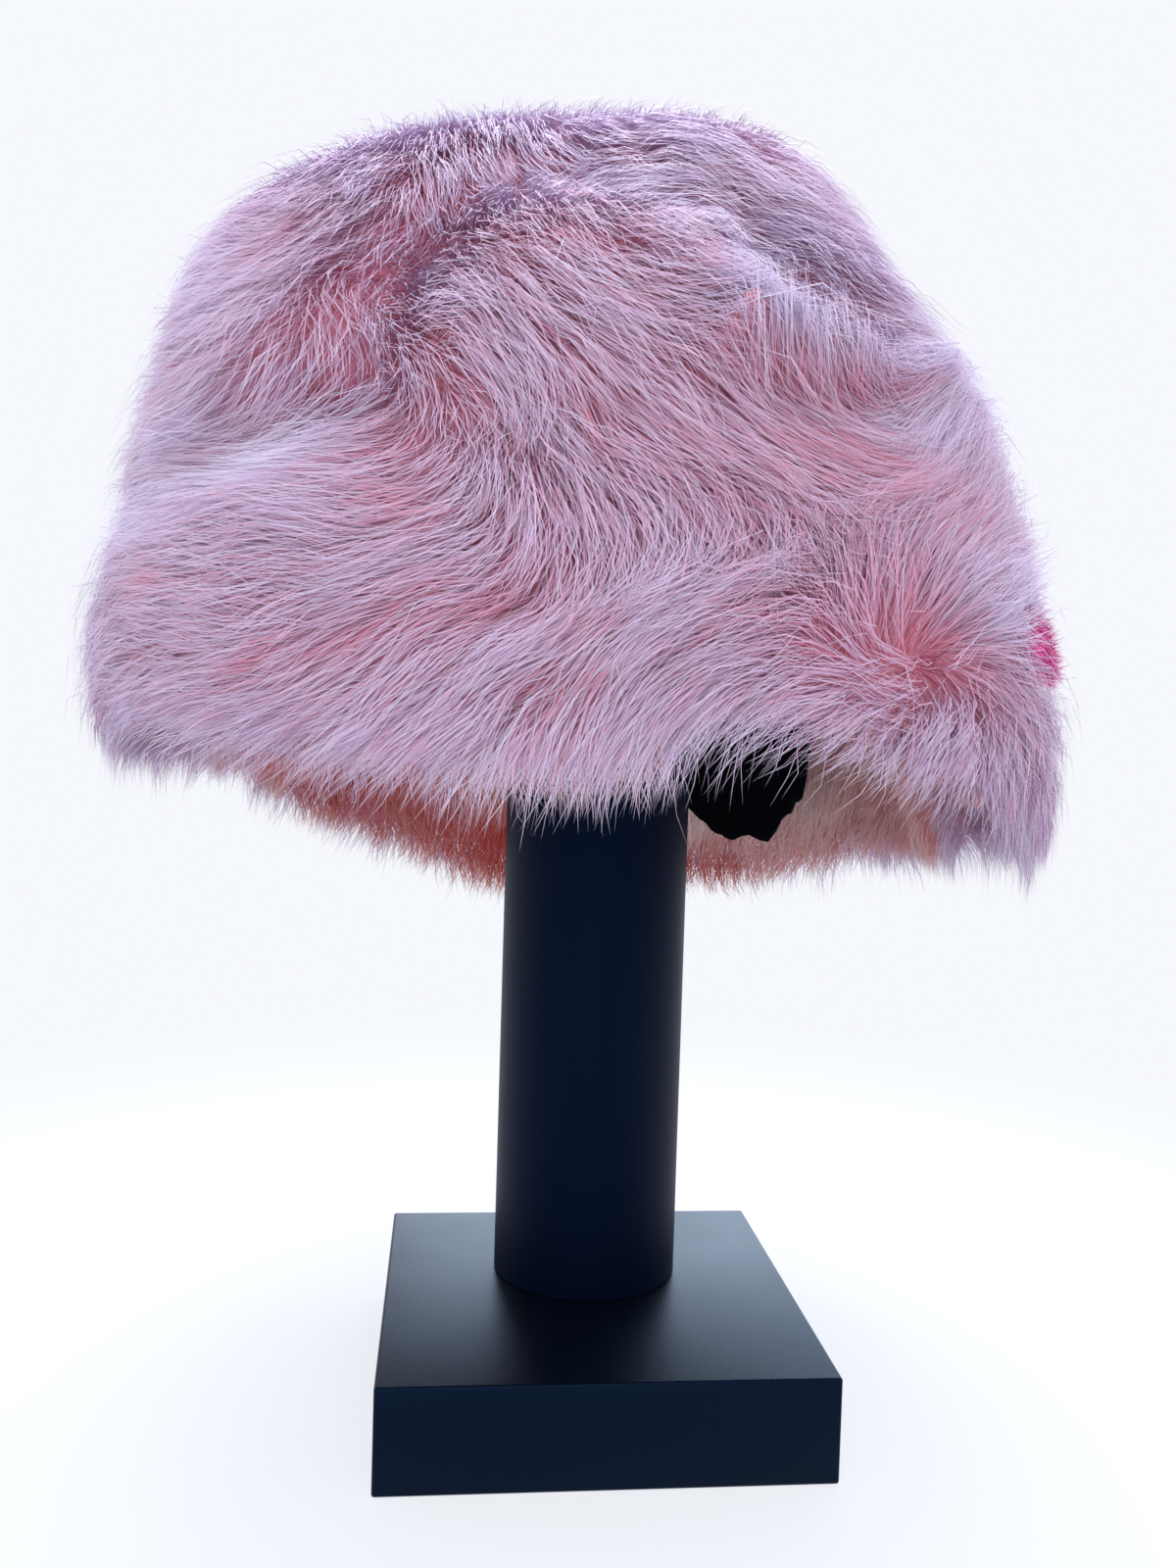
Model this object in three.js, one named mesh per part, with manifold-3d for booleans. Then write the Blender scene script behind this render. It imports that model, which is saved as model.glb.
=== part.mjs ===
// A long-pile fur hat with a soft drooping brim, hanging on a plain post with a square base.
// Millimetres, +Z up. The origin is the centre of the base's underside, and -Y is the front.
import * as THREE from 'three';
import { mergeVertices } from 'three/addons/utils/BufferGeometryUtils.js';
import Module from 'manifold-3d';

const wasm = await Module();
wasm.setup();

// Stand
const BASE_SIDE = 120;
const BASE_HEIGHT = 28;
const BASE_EDGE = 0.8;
const POST_RADIUS = 27.7;
const POST_EDGE = 5;
const POST_BACK = 15.2;
const POST_TOP = 343;
const POST_SIDES = 32;
const POST_EDGE_STEPS = 2;

// How the hat is turned on its post, in degrees about Z
const HAT_TURN = -6;

// Cloth, pile and the clear gap between neighbouring pieces
const GAP = 0.4;
const BACKING = 2;
const LINING_THICK = 1.2;
const HEM_RISE = 1.5;
const PILE_REACH = 48;
// The share of the pile's depth that is dense, between the locks
const DENSE = 0.78;
// How far a pile runs past its piece's ground before it is trimmed, in sections, and how far the
// pile of the brim hangs below the rim where the hem is level
const OVERSIZE = 0.3;
const HANG = 0.3;
const SIDES = 32;

// Sections of the fur's backing cloth, from the hanging hair tips up to the top of the crown.
// Heights and reaches are given at the four sides, x and y are the section's centre from the post's
// axis, and pile is how deep the fur stands.
const SECTION_COLUMNS = [
  'zFront', 'zBack', 'zLeft', 'zRight', 'front', 'back', 'left', 'right', 'x', 'y', 'pile',
];
const SECTION_ROWS = {
  tips:     [162, 112, 164, 140, 120, 117, 122, 122, -8, -7, 10],
  rim:      [190, 137, 188, 167, 116, 114, 118, 119, -8, -6, 18],
  brimMid:  [216, 160, 218, 201, 110, 108, 113, 114, -8, -5, 24],
  join:     [242, 183, 246, 233, 101, 99, 103, 104, -9, -4, 28],
  sideLow:  [270, 218, 264, 263, 98, 99, 101, 99, -10, -2, 25],
  sideHigh: [295, 258, 284, 291, 89, 94, 98, 90, -12, 0, 22],
  edge:     [314, 296, 304, 313, 76, 84, 95, 80, -14, 1, 19],
  shoulder: [329, 323, 324, 335, 62, 70, 85, 69, -14, 2, 18],
  topOuter: [338, 339, 337, 348, 47, 53, 68, 54, -9, 2, 17],
  topInner: [346, 349, 344, 356, 33, 35, 43, 34, -1, 2, 16],
  apex:     [354, 354, 354, 354, 0, 0, 0, 0, 12, 2, 16],
};

// Folds as seen from the front: each runs from one point to the other, in mm across and up, and is
// pressed in by its depth. A negative depth is a raised ridge.
const FOLD_COLUMNS = ['x0', 'z0', 'x1', 'z1', 'width', 'depth'];
const FRONT_FOLDS = {
  grooveTop:    [-40, 294, -14, 317, 9, 10],
  grooveTopEnd: [-14, 317, 28, 309, 8, 7],
  grooveDown:   [-40, 294, -50, 266, 9, 9],
  grooveLow:    [-50, 266, -72, 250, 10, 8],
  grooveLeft:   [-72, 250, -104, 238, 11, 7],
  cheekLeft:    [-94, 300, -72, 280, 14, -4],
  pocket:       [30, 298, 48, 287, 12, 12],
  pocketLip:    [10, 290, 20, 274, 6, -5],
  pocketShelf:  [22, 274, 60, 272, 6, -7],
  shelfShade:   [26, 262, 60, 262, 7, 8],
};
// Soft sags of the far side, in the same columns, as seen through the hat from the front
const BACK_FOLDS = {
  backSag:  [-50, 262, 10, 280, 14, 9],
  backDent: [40, 236, 66, 262, 13, 8],
};

// Locks of fur: where each field of them starts and ends between the sections, how many rows and
// how many in a row, their length and width, and how far they are combed off straight down, in
// degrees towards the right at the front. The swing adds to that most at one angle about the post.
const LOCK_COLUMNS = ['from', 'to', 'rows', 'count', 'length', 'width', 'comb', 'swing', 'swingAt', 'side'];
const LOCK_ROWS = {
  top:      [9.3, 6.9, 3, 10, 50, 29, 12, 24, 270, 1],
  side:     [5.9, 4.0, 3, 17, 58, 30, -4, 34, 300, 1],
  brim:     [2.75, 2.75, 1, 22, 54, 32, -30, 26, 320, 1],
  hem:      [1.6, 1.6, 1, 26, 36, 31, -20, 30, 255, 1],
  facing:   [2.3, 2.3, 1, 14, 40, 31, 16, 0, 0, -1],
  underhem: [1.5, 1.5, 1, 18, 32, 31, 12, 0, 0, -1],
};

// The level of the pile's lower edge round the brim, at angles in degrees from the right to the back
const HEM_COLUMNS = ['at', 'level'];
const HEM_ROWS = {
  right:      [0, 0.5],
  farRight:   [36, 0.5],
  far:        [70, 0.62],
  farLeft:    [120, 0.6],
  leftBack:   [150, 0.4],
  left:       [180, 0.5],
  leftCorner: [205, 0.75],
  leftFront:  [236, 0.56],
  front:      [270, 0.5],
  postSide:   [279, 0.6],
  lifted:     [287, 1.0],
  liftedEnd:  [314, 1.2],
  corner:     [328, 0.85],
  rightFront: [344, 0.5],
};
// The levels between which the brim's pile stops following its lower edge
const HEM_FADE = { from: 1.6, to: 2.6 };

// Plain oval patch sunk a little into the pile of the right side
const PATCH = { turn: -18, level: 2.3, width: 46, height: 21, thick: 6, sink: 3, clear: 1, steps: 16 };

// The slack fold of the lining that hangs out beside the post: where its middle is among the sides and
// how many it covers, how far from its middle it swings in and its hem drops, by how many mm and how
// many sections, and how suddenly both fall off
const SLACK = { middle: 3, columns: 10, wide: 4.2, low: 2.4, inward: 38, drop: 1.8, power: 4 };

const RADIANS = Math.PI / 180;
const SECTIONS = Object.values(SECTION_ROWS).map((row) => named(SECTION_COLUMNS, row));
const HEM = Object.values(HEM_ROWS).map((row) => named(HEM_COLUMNS, row));
const LEVEL = Object.fromEntries(Object.keys(SECTION_ROWS).map((name, i) => [name, i]));
const TOP = SECTIONS.length - 1;

// The rings of points that each piece and the lining inside it share
const BRIM_LEVELS = [-0.35, LEVEL.tips, LEVEL.rim, LEVEL.brimMid, 2.6, LEVEL.join];
const SIDE_LEVELS = [LEVEL.join, 3.5, LEVEL.sideLow, 4.6, 5.3, LEVEL.edge];
const TOP_LEVELS = [LEVEL.edge, 6.5, LEVEL.shoulder, LEVEL.topOuter, LEVEL.topInner, TOP];

// Turns a table's row into an object with the columns' names.
function named(columns, row) {
  return Object.fromEntries(columns.map((column, i) => [column, row[i]]));
}

// Seeded numbers from 0 to 1, so that the fur is the same each time.
function makeRandom(seed) {
  let state = seed;
  return () => {
    state = (state * 1664525 + 1013904223) % 4294967296;
    return state / 4294967296;
  };
}

// A column of the section table, smooth between the rows. Past the apex it turns back.
function column(name, level) {
  const row = Math.min(Math.max(Math.floor(level), 0), TOP - 1);
  const t = level - row;
  const at = (i) => {
    if (i < 0) return 2 * SECTIONS[0][name] - SECTIONS[1][name];
    if (i > TOP) return SECTIONS[2 * TOP - i][name] * (REACHES.has(name) ? -1 : 1);
    return SECTIONS[i][name];
  };
  const [a, b, c, d] = [at(row - 1), at(row), at(row + 1), at(row + 2)];
  return b + 0.5 * t * (c - a + t * (2 * a - 5 * b + 4 * c - d + t * (3 * (b - c) + d - a)));
}
const REACHES = new Set(['front', 'back', 'left', 'right']);

// A point of the backing cloth at an angle about the post and a level between the sections.
function cloth(angle, level) {
  const across = Math.cos(angle);
  const away = Math.sin(angle);
  const side = across > 0 ? 'Right' : 'Left';
  const end = away > 0 ? 'Back' : 'Front';
  const x = column('x', level) + across * column(side.toLowerCase(), level);
  const y = column('y', level) + away * column(end.toLowerCase(), level);
  const z = across ** 2 * column('z' + side, level) + away ** 2 * column('z' + end, level);
  return new THREE.Vector3(x, y, z);
}

// The level of the brim's lower edge at an angle, smooth between the rows of the hem table.
function hemLevel(angle) {
  const turn = THREE.MathUtils.euclideanModulo(angle / RADIANS, 360);
  const next = HEM.findIndex((row) => row.at > turn);
  const from = HEM.at(next - 1);
  const to = next < 0 ? { at: 360, level: HEM[0].level } : HEM[next];
  return THREE.MathUtils.lerp(from.level, to.level, THREE.MathUtils.smoothstep(turn, from.at, to.at));
}

// A level moved so that the pile's lower edge follows the hem.
function hung(angle, level) {
  const rise = hemLevel(angle) - (LEVEL.rim - HANG);
  return level + rise * (1 - THREE.MathUtils.smoothstep(level, HEM_FADE.from, HEM_FADE.to));
}

// How many mm one step of angle and one step of level cover, and the direction out of the cloth.
const STEP = 0.02;
function frameAt(angle, level) {
  const v = Math.min(Math.max(level, STEP), TOP - STEP);
  const du = cloth(angle + STEP, v).sub(cloth(angle - STEP, v)).divideScalar(2 * STEP);
  const dv = cloth(angle, v + STEP).sub(cloth(angle, v - STEP)).divideScalar(2 * STEP);
  const out = new THREE.Vector3().crossVectors(du, dv).normalize();
  if (level > TOP - STEP) out.set(0, 0, 1);
  return { perAngle: du.length(), perLevel: dv.length(), out };
}

// How far the folds press a point of the cloth in.
function foldDepth(point) {
  const folds = point.y < 0 ? FRONT_FOLDS : BACK_FOLDS;
  const fade = THREE.MathUtils.smoothstep(Math.abs(point.y), 0, 45);
  let depth = 0;
  for (const row of Object.values(folds)) {
    const f = named(FOLD_COLUMNS, row);
    const run = new THREE.Vector2(f.x1 - f.x0, f.z1 - f.z0);
    const from = new THREE.Vector2(point.x - f.x0, point.z - f.z0);
    const t = THREE.MathUtils.clamp(from.dot(run) / run.lengthSq(), 0, 1);
    const away = from.sub(run.multiplyScalar(t)).length() / f.width;
    depth += f.depth * Math.exp(-away * away);
  }
  return depth * fade;
}

// A point at a height off the cloth, with the folds pressed in.
function furPoint(angle, level, height) {
  const point = cloth(angle, level);
  const sunk = foldDepth(point);
  return point.addScaledVector(frameAt(angle, level).out, height - sunk);
}

// Closed wall between two surfaces over a run of levels. It closes at the apex where it reaches it.
function wall(levels, inner, outer) {
  const capped = levels[levels.length - 1] === TOP;
  const rings = capped ? levels.slice(0, -1) : levels;
  const points = [];
  for (const surface of [inner, outer]) {
    for (const level of rings) {
      for (let j = 0; j < SIDES; j++) points.push(surface((2 * Math.PI * j) / SIDES, level));
    }
  }
  if (capped) points.push(inner(0, TOP), outer(0, TOP));
  const faces = [];
  const sheet = rings.length * SIDES;
  const index = (skin, i, j) => skin * sheet + i * SIDES + (j % SIDES);
  const quad = (a, b, c, d) => faces.push(a, b, c, a, c, d);
  for (let j = 0; j < SIDES; j++) {
    for (let i = 0; i < rings.length - 1; i++) {
      quad(index(1, i, j), index(1, i, j + 1), index(1, i + 1, j + 1), index(1, i + 1, j));
      quad(index(0, i, j), index(0, i + 1, j), index(0, i + 1, j + 1), index(0, i, j + 1));
    }
    const last = rings.length - 1;
    quad(index(0, 0, j), index(0, 0, j + 1), index(1, 0, j + 1), index(1, 0, j));
    if (capped) {
      faces.push(index(1, last, j), index(1, last, j + 1), 2 * sheet + 1);
      faces.push(index(0, last, j + 1), index(0, last, j), 2 * sheet);
    } else {
      quad(index(0, last, j), index(1, last, j), index(1, last, j + 1), index(0, last, j + 1));
    }
  }
  return closedSolid(points, faces);
}

// Closed sheet between two grids of points, with its rows counted up and its columns round.
function sheet(rows, columns, inner, outer) {
  const points = [];
  for (const surface of [inner, outer]) {
    for (let i = 0; i <= rows; i++) {
      for (let j = 0; j <= columns; j++) points.push(surface(i, j));
    }
  }
  const faces = [];
  const index = (skin, i, j) => (skin * (rows + 1) + i) * (columns + 1) + j;
  const quad = (a, b, c, d) => faces.push(a, b, c, a, c, d);
  for (let i = 0; i < rows; i++) {
    for (let j = 0; j < columns; j++) {
      quad(index(1, i, j), index(1, i, j + 1), index(1, i + 1, j + 1), index(1, i + 1, j));
      quad(index(0, i, j), index(0, i + 1, j), index(0, i + 1, j + 1), index(0, i, j + 1));
    }
    quad(index(1, i, 0), index(1, i + 1, 0), index(0, i + 1, 0), index(0, i, 0));
    quad(index(1, i + 1, columns), index(1, i, columns), index(0, i, columns), index(0, i + 1, columns));
  }
  for (let j = 0; j < columns; j++) {
    quad(index(0, 0, j), index(0, 0, j + 1), index(1, 0, j + 1), index(1, 0, j));
    quad(index(0, rows, j), index(1, rows, j), index(1, rows, j + 1), index(0, rows, j + 1));
  }
  return closedSolid(points, faces);
}

// A solid from its points and triangles.
function closedSolid(points, faces) {
  const vertProperties = new Float32Array(points.flatMap((p) => [p.x, p.y, p.z]));
  return new wasm.Manifold(new wasm.Mesh({ numProp: 3, vertProperties, triVerts: new Uint32Array(faces) }));
}

// A three.js shape as a solid.
function solidOf(geometry) {
  geometry.deleteAttribute('normal');
  geometry.deleteAttribute('uv');
  const merged = mergeVertices(geometry, 1e-4);
  const position = merged.getAttribute('position');
  const points = Array.from({ length: position.count }, (_, i) => {
    return new THREE.Vector3().fromBufferAttribute(position, i);
  });
  return closedSolid(points, Array.from(merged.index.array));
}

// The one largest body of a solid, without crumbs or sealed pockets between its locks.
function mainBody(solid) {
  return solid.decompose().reduce((best, body) => (body.volume() > best.volume() ? body : best));
}

// A solid as a named mesh with its own colour and gloss.
function meshOf(name, solid, color, roughness) {
  const { vertProperties, triVerts } = solid.getMesh();
  const geometry = new THREE.BufferGeometry();
  geometry.setAttribute('position', new THREE.BufferAttribute(vertProperties, 3));
  geometry.setIndex(new THREE.BufferAttribute(triVerts, 1));
  const mesh = new THREE.Mesh(geometry, new THREE.MeshStandardMaterial({ color, roughness, metalness: 0 }));
  mesh.name = name;
  return mesh;
}

// One lock: a three-sided spindle that leaves the pile low down, follows the cloth and curls to its
// tip. Its stations give the place along it, half its width and its lowest and highest share of the pile.
const LOCK_STATIONS = [
  { along: 0, half: 0.3, low: 0.25, high: 0.66 },
  { along: 0.45, half: 0.5, low: 0.6, high: 1.02 },
];
const LOCK_TIP = 0.86;
function lock(angle, level, length, width, comb, curl, side) {
  const { perAngle, perLevel } = frameAt(angle, level);
  const at = (along, aside, share) => {
    const turn = comb + curl * along;
    const du = (length * along * Math.sin(turn) + aside * Math.cos(turn)) / perAngle;
    const dv = (aside * Math.sin(turn) - length * along * Math.cos(turn)) / perLevel;
    return furPoint(angle + du, level + dv, side * share * column('pile', level + dv));
  };
  const points = [];
  for (const s of LOCK_STATIONS) {
    points.push(at(s.along, -s.half * width, s.low), at(s.along, s.half * width, s.low));
    points.push(at(s.along, 0, s.high));
  }
  points.push(at(1, 0, LOCK_TIP));
  const faces = [0, 2, 1, 0, 1, 4, 0, 4, 3, 1, 2, 5, 1, 5, 4, 2, 0, 3, 2, 3, 5, 3, 4, 6, 4, 5, 6, 5, 3, 6];
  if (side < 0) faces.reverse();
  return closedSolid(points, faces);
}

// The locks of one field, in staggered rows, each a little unlike the next.
function lockField(name, seed) {
  const f = named(LOCK_COLUMNS, LOCK_ROWS[name]);
  const random = makeRandom(seed);
  const vary = (amount) => (random() - 0.5) * amount;
  const locks = [];
  for (let row = 0; row < f.rows; row++) {
    const level = f.rows > 1 ? f.from + ((f.to - f.from) * row) / (f.rows - 1) : f.from;
    for (let i = 0; i < f.count; i++) {
      const angle = (2 * Math.PI * (i + 0.5 * (row % 2) + vary(0.4))) / f.count;
      const swing = f.swing * Math.cos(angle - f.swingAt * RADIANS);
      const comb = (f.comb + swing + vary(24)) * RADIANS;
      const size = 1 + vary(0.4);
      const curl = vary(50) * RADIANS;
      const from = hung(angle, level + vary(0.24));
      locks.push(lock(angle, from, f.length * size, f.width * size, comb, curl, f.side));
    }
  }
  return locks;
}

// The pile between two heights off the cloth, its locks fused on, trimmed to the piece's own ground.
function furPiece(ground, pile, locks) {
  return mainBody(locks.reduce((solid, one) => solid.add(one), pile).intersect(ground));
}

// A level moved up or down by a few mm at each angle.
function shifted(level, mm) {
  return (angle) => level + mm / frameAt(angle, level).perLevel;
}

// Ground of a piece: all between two heights, with its edges half a gap off the seams, or its lower
// edge further up if it is a hem.
function groundOf(levels, low, high, rise = GAP / 2) {
  const [first, last] = [levels[0], levels[levels.length - 1]];
  const start = shifted(first, rise);
  const end = shifted(last, -GAP / 2);
  const place = (angle, level) => {
    if (level === first) return start(angle);
    return level === last && last < TOP ? end(angle) : level;
  };
  return wall(
    levels,
    (angle, level) => furPoint(angle, place(angle, level), low),
    (angle, level) => furPoint(angle, place(angle, level), high),
  );
}

// The body of a fur piece, a little larger than its ground, which trims it.
function pileOf(levels, side) {
  const dense = (angle, level) => {
    const place = hung(angle, level);
    return furPoint(angle, place, side * DENSE * column('pile', place));
  };
  const behind = (angle, level) => furPoint(angle, hung(angle, level), -side * BACKING);
  return side > 0 ? wall(levels, behind, dense) : wall(levels, dense, behind);
}

function makeCrownTop() {
  const under = [LEVEL.edge - OVERSIZE, ...TOP_LEVELS.slice(1)];
  return furPiece(groundOf(TOP_LEVELS, 0, PILE_REACH), pileOf(under, 1), lockField('top', 11));
}

function makeCrownSide() {
  const over = [LEVEL.join - OVERSIZE, ...SIDE_LEVELS.slice(1, -1), LEVEL.edge + OVERSIZE];
  return furPiece(groundOf(SIDE_LEVELS, 0, PILE_REACH), pileOf(over, 1), lockField('side', 23));
}

// The brim's outer fur keeps clear of the facing by half a gap each, down to the hanging tips.
function makeBrim(pocket) {
  const over = [LEVEL.rim - HANG, LEVEL.rim, LEVEL.brimMid, 2.6, LEVEL.join + OVERSIZE];
  const locks = [...lockField('brim', 37), ...lockField('hem', 41)];
  return furPiece(groundOf(BRIM_LEVELS, GAP / 2, PILE_REACH), pileOf(over, 1), locks).subtract(pocket);
}

function makeFacing() {
  const over = [LEVEL.rim - HANG, LEVEL.rim, LEVEL.brimMid, LEVEL.join + OVERSIZE];
  const locks = [...lockField('facing', 53), ...lockField('underhem', 59)];
  return furPiece(groundOf(BRIM_LEVELS, -PILE_REACH, -GAP / 2), pileOf(over, -1), locks);
}

// The lining's top and side follow the inside of the crown.
function makeLining(levels, rise) {
  return groundOf(levels, -GAP - LINING_THICK, -GAP, rise);
}

// The slack fold swings in off the lining's side, and its hem hangs below the join at its middle.
function makeFold() {
  const { middle, columns, wide, low, inward, drop, power } = SLACK;
  const levels = SIDE_LEVELS.slice(0, -1);
  const leaves = levels[levels.length - 1];
  const hem = shifted(LEVEL.join, HEM_RISE);
  const skin = (depth) => (i, j) => {
    const off = j - columns / 2;
    const angle = (2 * Math.PI * (middle + off)) / SIDES;
    const share = (reach) => Math.exp(-((off / reach) ** power));
    const swing = share(wide) * THREE.MathUtils.smoothstep(leaves - levels[i], 0, leaves - LEVEL.join);
    const height = -2 * GAP - LINING_THICK - depth - inward * swing;
    return furPoint(angle, i > 0 ? levels[i] : hem(angle) - drop * share(low), height);
  };
  return sheet(levels.length - 1, columns, skin(LINING_THICK), skin(0));
}

// Where the patch lies: its centre, its outward direction and a shape set on it.
function patchSolid(grow, from, to) {
  const angle = PATCH.turn * RADIANS;
  const centre = furPoint(angle, PATCH.level, DENSE * column('pile', PATCH.level));
  const { out } = frameAt(angle, PATCH.level);
  const oval = new THREE.Shape();
  oval.absellipse(0, 0, PATCH.width / 2 + grow, PATCH.height / 2 + grow, 0, 2 * Math.PI);
  const block = new THREE.ExtrudeGeometry(oval, {
    depth: to - from, bevelEnabled: false, curveSegments: PATCH.steps,
  });
  block.translate(0, 0, from);
  const level = new THREE.Vector3(0, 0, 1);
  const across = new THREE.Vector3().crossVectors(level, out).normalize();
  const up = new THREE.Vector3().crossVectors(out, across);
  block.applyMatrix4(new THREE.Matrix4().makeBasis(across, up, out).setPosition(centre));
  return solidOf(block);
}

function makePost() {
  const profile = [new THREE.Vector2(0, BASE_HEIGHT + GAP), new THREE.Vector2(POST_RADIUS, BASE_HEIGHT + GAP)];
  for (let i = 0; i <= POST_EDGE_STEPS; i++) {
    const a = (i / POST_EDGE_STEPS) * 90 * RADIANS;
    profile.push(new THREE.Vector2(
      POST_RADIUS - POST_EDGE + POST_EDGE * Math.cos(a),
      POST_TOP - POST_EDGE + POST_EDGE * Math.sin(a),
    ));
  }
  profile.push(new THREE.Vector2(0, POST_TOP));
  return solidOf(new THREE.LatheGeometry(profile, POST_SIDES).rotateX(Math.PI / 2));
}

function makeBase() {
  const side = BASE_SIDE / 2 - BASE_EDGE;
  const square = new THREE.Shape([
    new THREE.Vector2(-side, -side), new THREE.Vector2(side, -side),
    new THREE.Vector2(side, side), new THREE.Vector2(-side, side),
  ]);
  const block = new THREE.ExtrudeGeometry(square, {
    depth: BASE_HEIGHT - 2 * BASE_EDGE, bevelThickness: BASE_EDGE, bevelSize: BASE_EDGE, bevelSegments: 2,
  });
  return solidOf(block.translate(0, 0, BASE_EDGE));
}

const FUR_PINK = 0xc9a2bd;
const FUR_INNER = 0xc98f97;
const LINING_BLACK = 0x14151a;
const PATCH_PINK = 0xf25aa8;
const STAND_BLACK = 0x1a222e;

const hat = new THREE.Group();
hat.position.set(0, POST_BACK, 0);
hat.rotation.z = HAT_TURN * RADIANS;
const pocket = patchSolid(PATCH.clear, -PATCH.sink - GAP, PILE_REACH);
hat.add(
  meshOf('crown_top', makeCrownTop(), FUR_PINK, 0.85),
  meshOf('crown_side', makeCrownSide(), FUR_PINK, 0.85),
  meshOf('brim', makeBrim(pocket), FUR_PINK, 0.85),
  meshOf('brim_facing', makeFacing(), FUR_INNER, 0.85),
  meshOf('lining_top', makeLining(TOP_LEVELS), LINING_BLACK, 0.8),
  meshOf('lining_side', makeLining(SIDE_LEVELS, HEM_RISE), LINING_BLACK, 0.8),
  meshOf('lining_fold', makeFold(), LINING_BLACK, 0.8),
  meshOf('side_patch', patchSolid(0, -PATCH.sink, PATCH.thick - PATCH.sink), PATCH_PINK, 0.9),
);

const post = meshOf('stand_post', makePost(), STAND_BLACK, 0.45);
post.position.set(0, POST_BACK, 0);

const part = new THREE.Group();
part.add(hat, post, meshOf('stand_base', makeBase(), STAND_BLACK, 0.4));

export default part;
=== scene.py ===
"""A long-pile fur hat hanging on its black post stand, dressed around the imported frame.

The tables and fields of the hat are in millimetres in the hat's own frame: x to the right, y away
from the front, z up, with the origin on the post's axis at the floor. Meshes are in metres in the
frame of the whole part.
"""

import logging
import math
from dataclasses import dataclass, field
from enum import Enum
from typing import Callable

import bmesh
import bpy
import numpy as np
from mathutils import Matrix, Vector
from mathutils.kdtree import KDTree


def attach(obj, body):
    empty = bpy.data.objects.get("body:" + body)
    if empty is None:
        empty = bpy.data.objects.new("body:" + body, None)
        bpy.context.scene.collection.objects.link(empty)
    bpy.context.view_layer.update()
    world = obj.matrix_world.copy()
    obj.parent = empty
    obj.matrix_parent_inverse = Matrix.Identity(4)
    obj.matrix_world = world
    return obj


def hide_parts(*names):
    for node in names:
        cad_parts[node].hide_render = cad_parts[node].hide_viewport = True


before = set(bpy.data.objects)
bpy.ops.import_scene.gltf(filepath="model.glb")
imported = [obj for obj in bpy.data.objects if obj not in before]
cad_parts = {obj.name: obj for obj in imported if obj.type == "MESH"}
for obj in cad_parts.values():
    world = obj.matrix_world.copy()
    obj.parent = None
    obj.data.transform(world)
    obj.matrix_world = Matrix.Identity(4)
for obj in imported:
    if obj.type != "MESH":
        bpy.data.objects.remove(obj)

LOG = logging.getLogger("fur_hat")
BODY = "root"
MM = 0.001
BAKE_MAP = "OFBake"

Points = np.ndarray
Triple = tuple[float, float, float]
Screen = tuple[int, int, int]

# Sections of the fur's backing cloth, from the hanging tips up to the top of the crown: heights and
# reaches at the four sides, the centre off the post's axis, and how deep the pile stands.
SECTION_COLUMNS = (
    "z_front", "z_back", "z_left", "z_right", "front", "back", "left", "right", "x", "y", "pile",
)
SECTION_ROWS = {
    "tips": (162, 112, 164, 140, 120, 117, 122, 122, -8, -7, 10),
    "rim": (190, 137, 188, 167, 116, 114, 118, 119, -8, -6, 18),
    "brim_mid": (216, 160, 218, 201, 110, 108, 113, 114, -8, -5, 24),
    "join": (242, 183, 246, 233, 101, 99, 103, 104, -9, -4, 28),
    "side_low": (270, 218, 264, 263, 98, 99, 101, 99, -10, -2, 25),
    "side_high": (295, 258, 284, 291, 89, 94, 98, 90, -12, 0, 22),
    "edge": (314, 296, 304, 313, 76, 84, 95, 80, -14, 1, 19),
    "shoulder": (329, 323, 324, 335, 62, 70, 85, 69, -14, 2, 18),
    "top_outer": (338, 339, 337, 348, 47, 53, 68, 54, -9, 2, 17),
    "top_inner": (346, 349, 344, 356, 33, 35, 43, 34, -1, 2, 16),
    "apex": (354, 354, 354, 354, 0, 0, 0, 0, 12, 2, 16),
}
LEVEL = {name: float(row) for row, name in enumerate(SECTION_ROWS)}
TOP = LEVEL["apex"]

# Folds as seen from the front: from one point to the other in mm across and up, how wide they are
# and how deep they are pressed in. A negative depth is a raised ridge.
FRONT_FOLDS = {
    "groove_top": (-40, 294, -14, 317, 9, 10),
    "groove_top_end": (-14, 317, 28, 309, 8, 7),
    "groove_down": (-40, 294, -50, 266, 9, 9),
    "groove_low": (-50, 266, -72, 250, 10, 8),
    "groove_left": (-72, 250, -104, 238, 11, 7),
    "cheek_left": (-94, 300, -72, 280, 14, -4),
    "pocket": (30, 298, 48, 287, 12, 12),
    "pocket_lip": (10, 290, 20, 274, 6, -5),
    "pocket_shelf": (22, 274, 60, 272, 6, -7),
    "shelf_shade": (26, 262, 60, 262, 7, 8),
}
# Fine folds in the same columns, which sharpen the main ones and raise their banks
FINE_FOLDS = {
    "groove_high": (3, 328, -27, 319, 6, 3),
    "groove_bend": (-27, 319, -45, 304, 6, 6),
    "groove_down": (-45, 304, -54, 275, 5, 5),
    "groove_bank": (-34, 296, -14, 314, 8, -6),
    "groove_bank_low": (-38, 292, -46, 268, 6, -4),
    "low_groove": (-62, 265, -85, 252, 4, 3),
    "low_groove_end": (-85, 252, -98, 251, 4, 3),
    "lip_side": (21, 303, 20, 277, 4, -5),
    "lip": (20, 274, 60, 275, 4, -6),
    "lip_step": (22, 267, 58, 267, 4, 6),
}
BACK_FOLDS = {
    "back_sag": (-50, 262, 10, 280, 14, 9),
    "back_dent": (40, 236, 66, 262, 13, 8),
}

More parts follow.
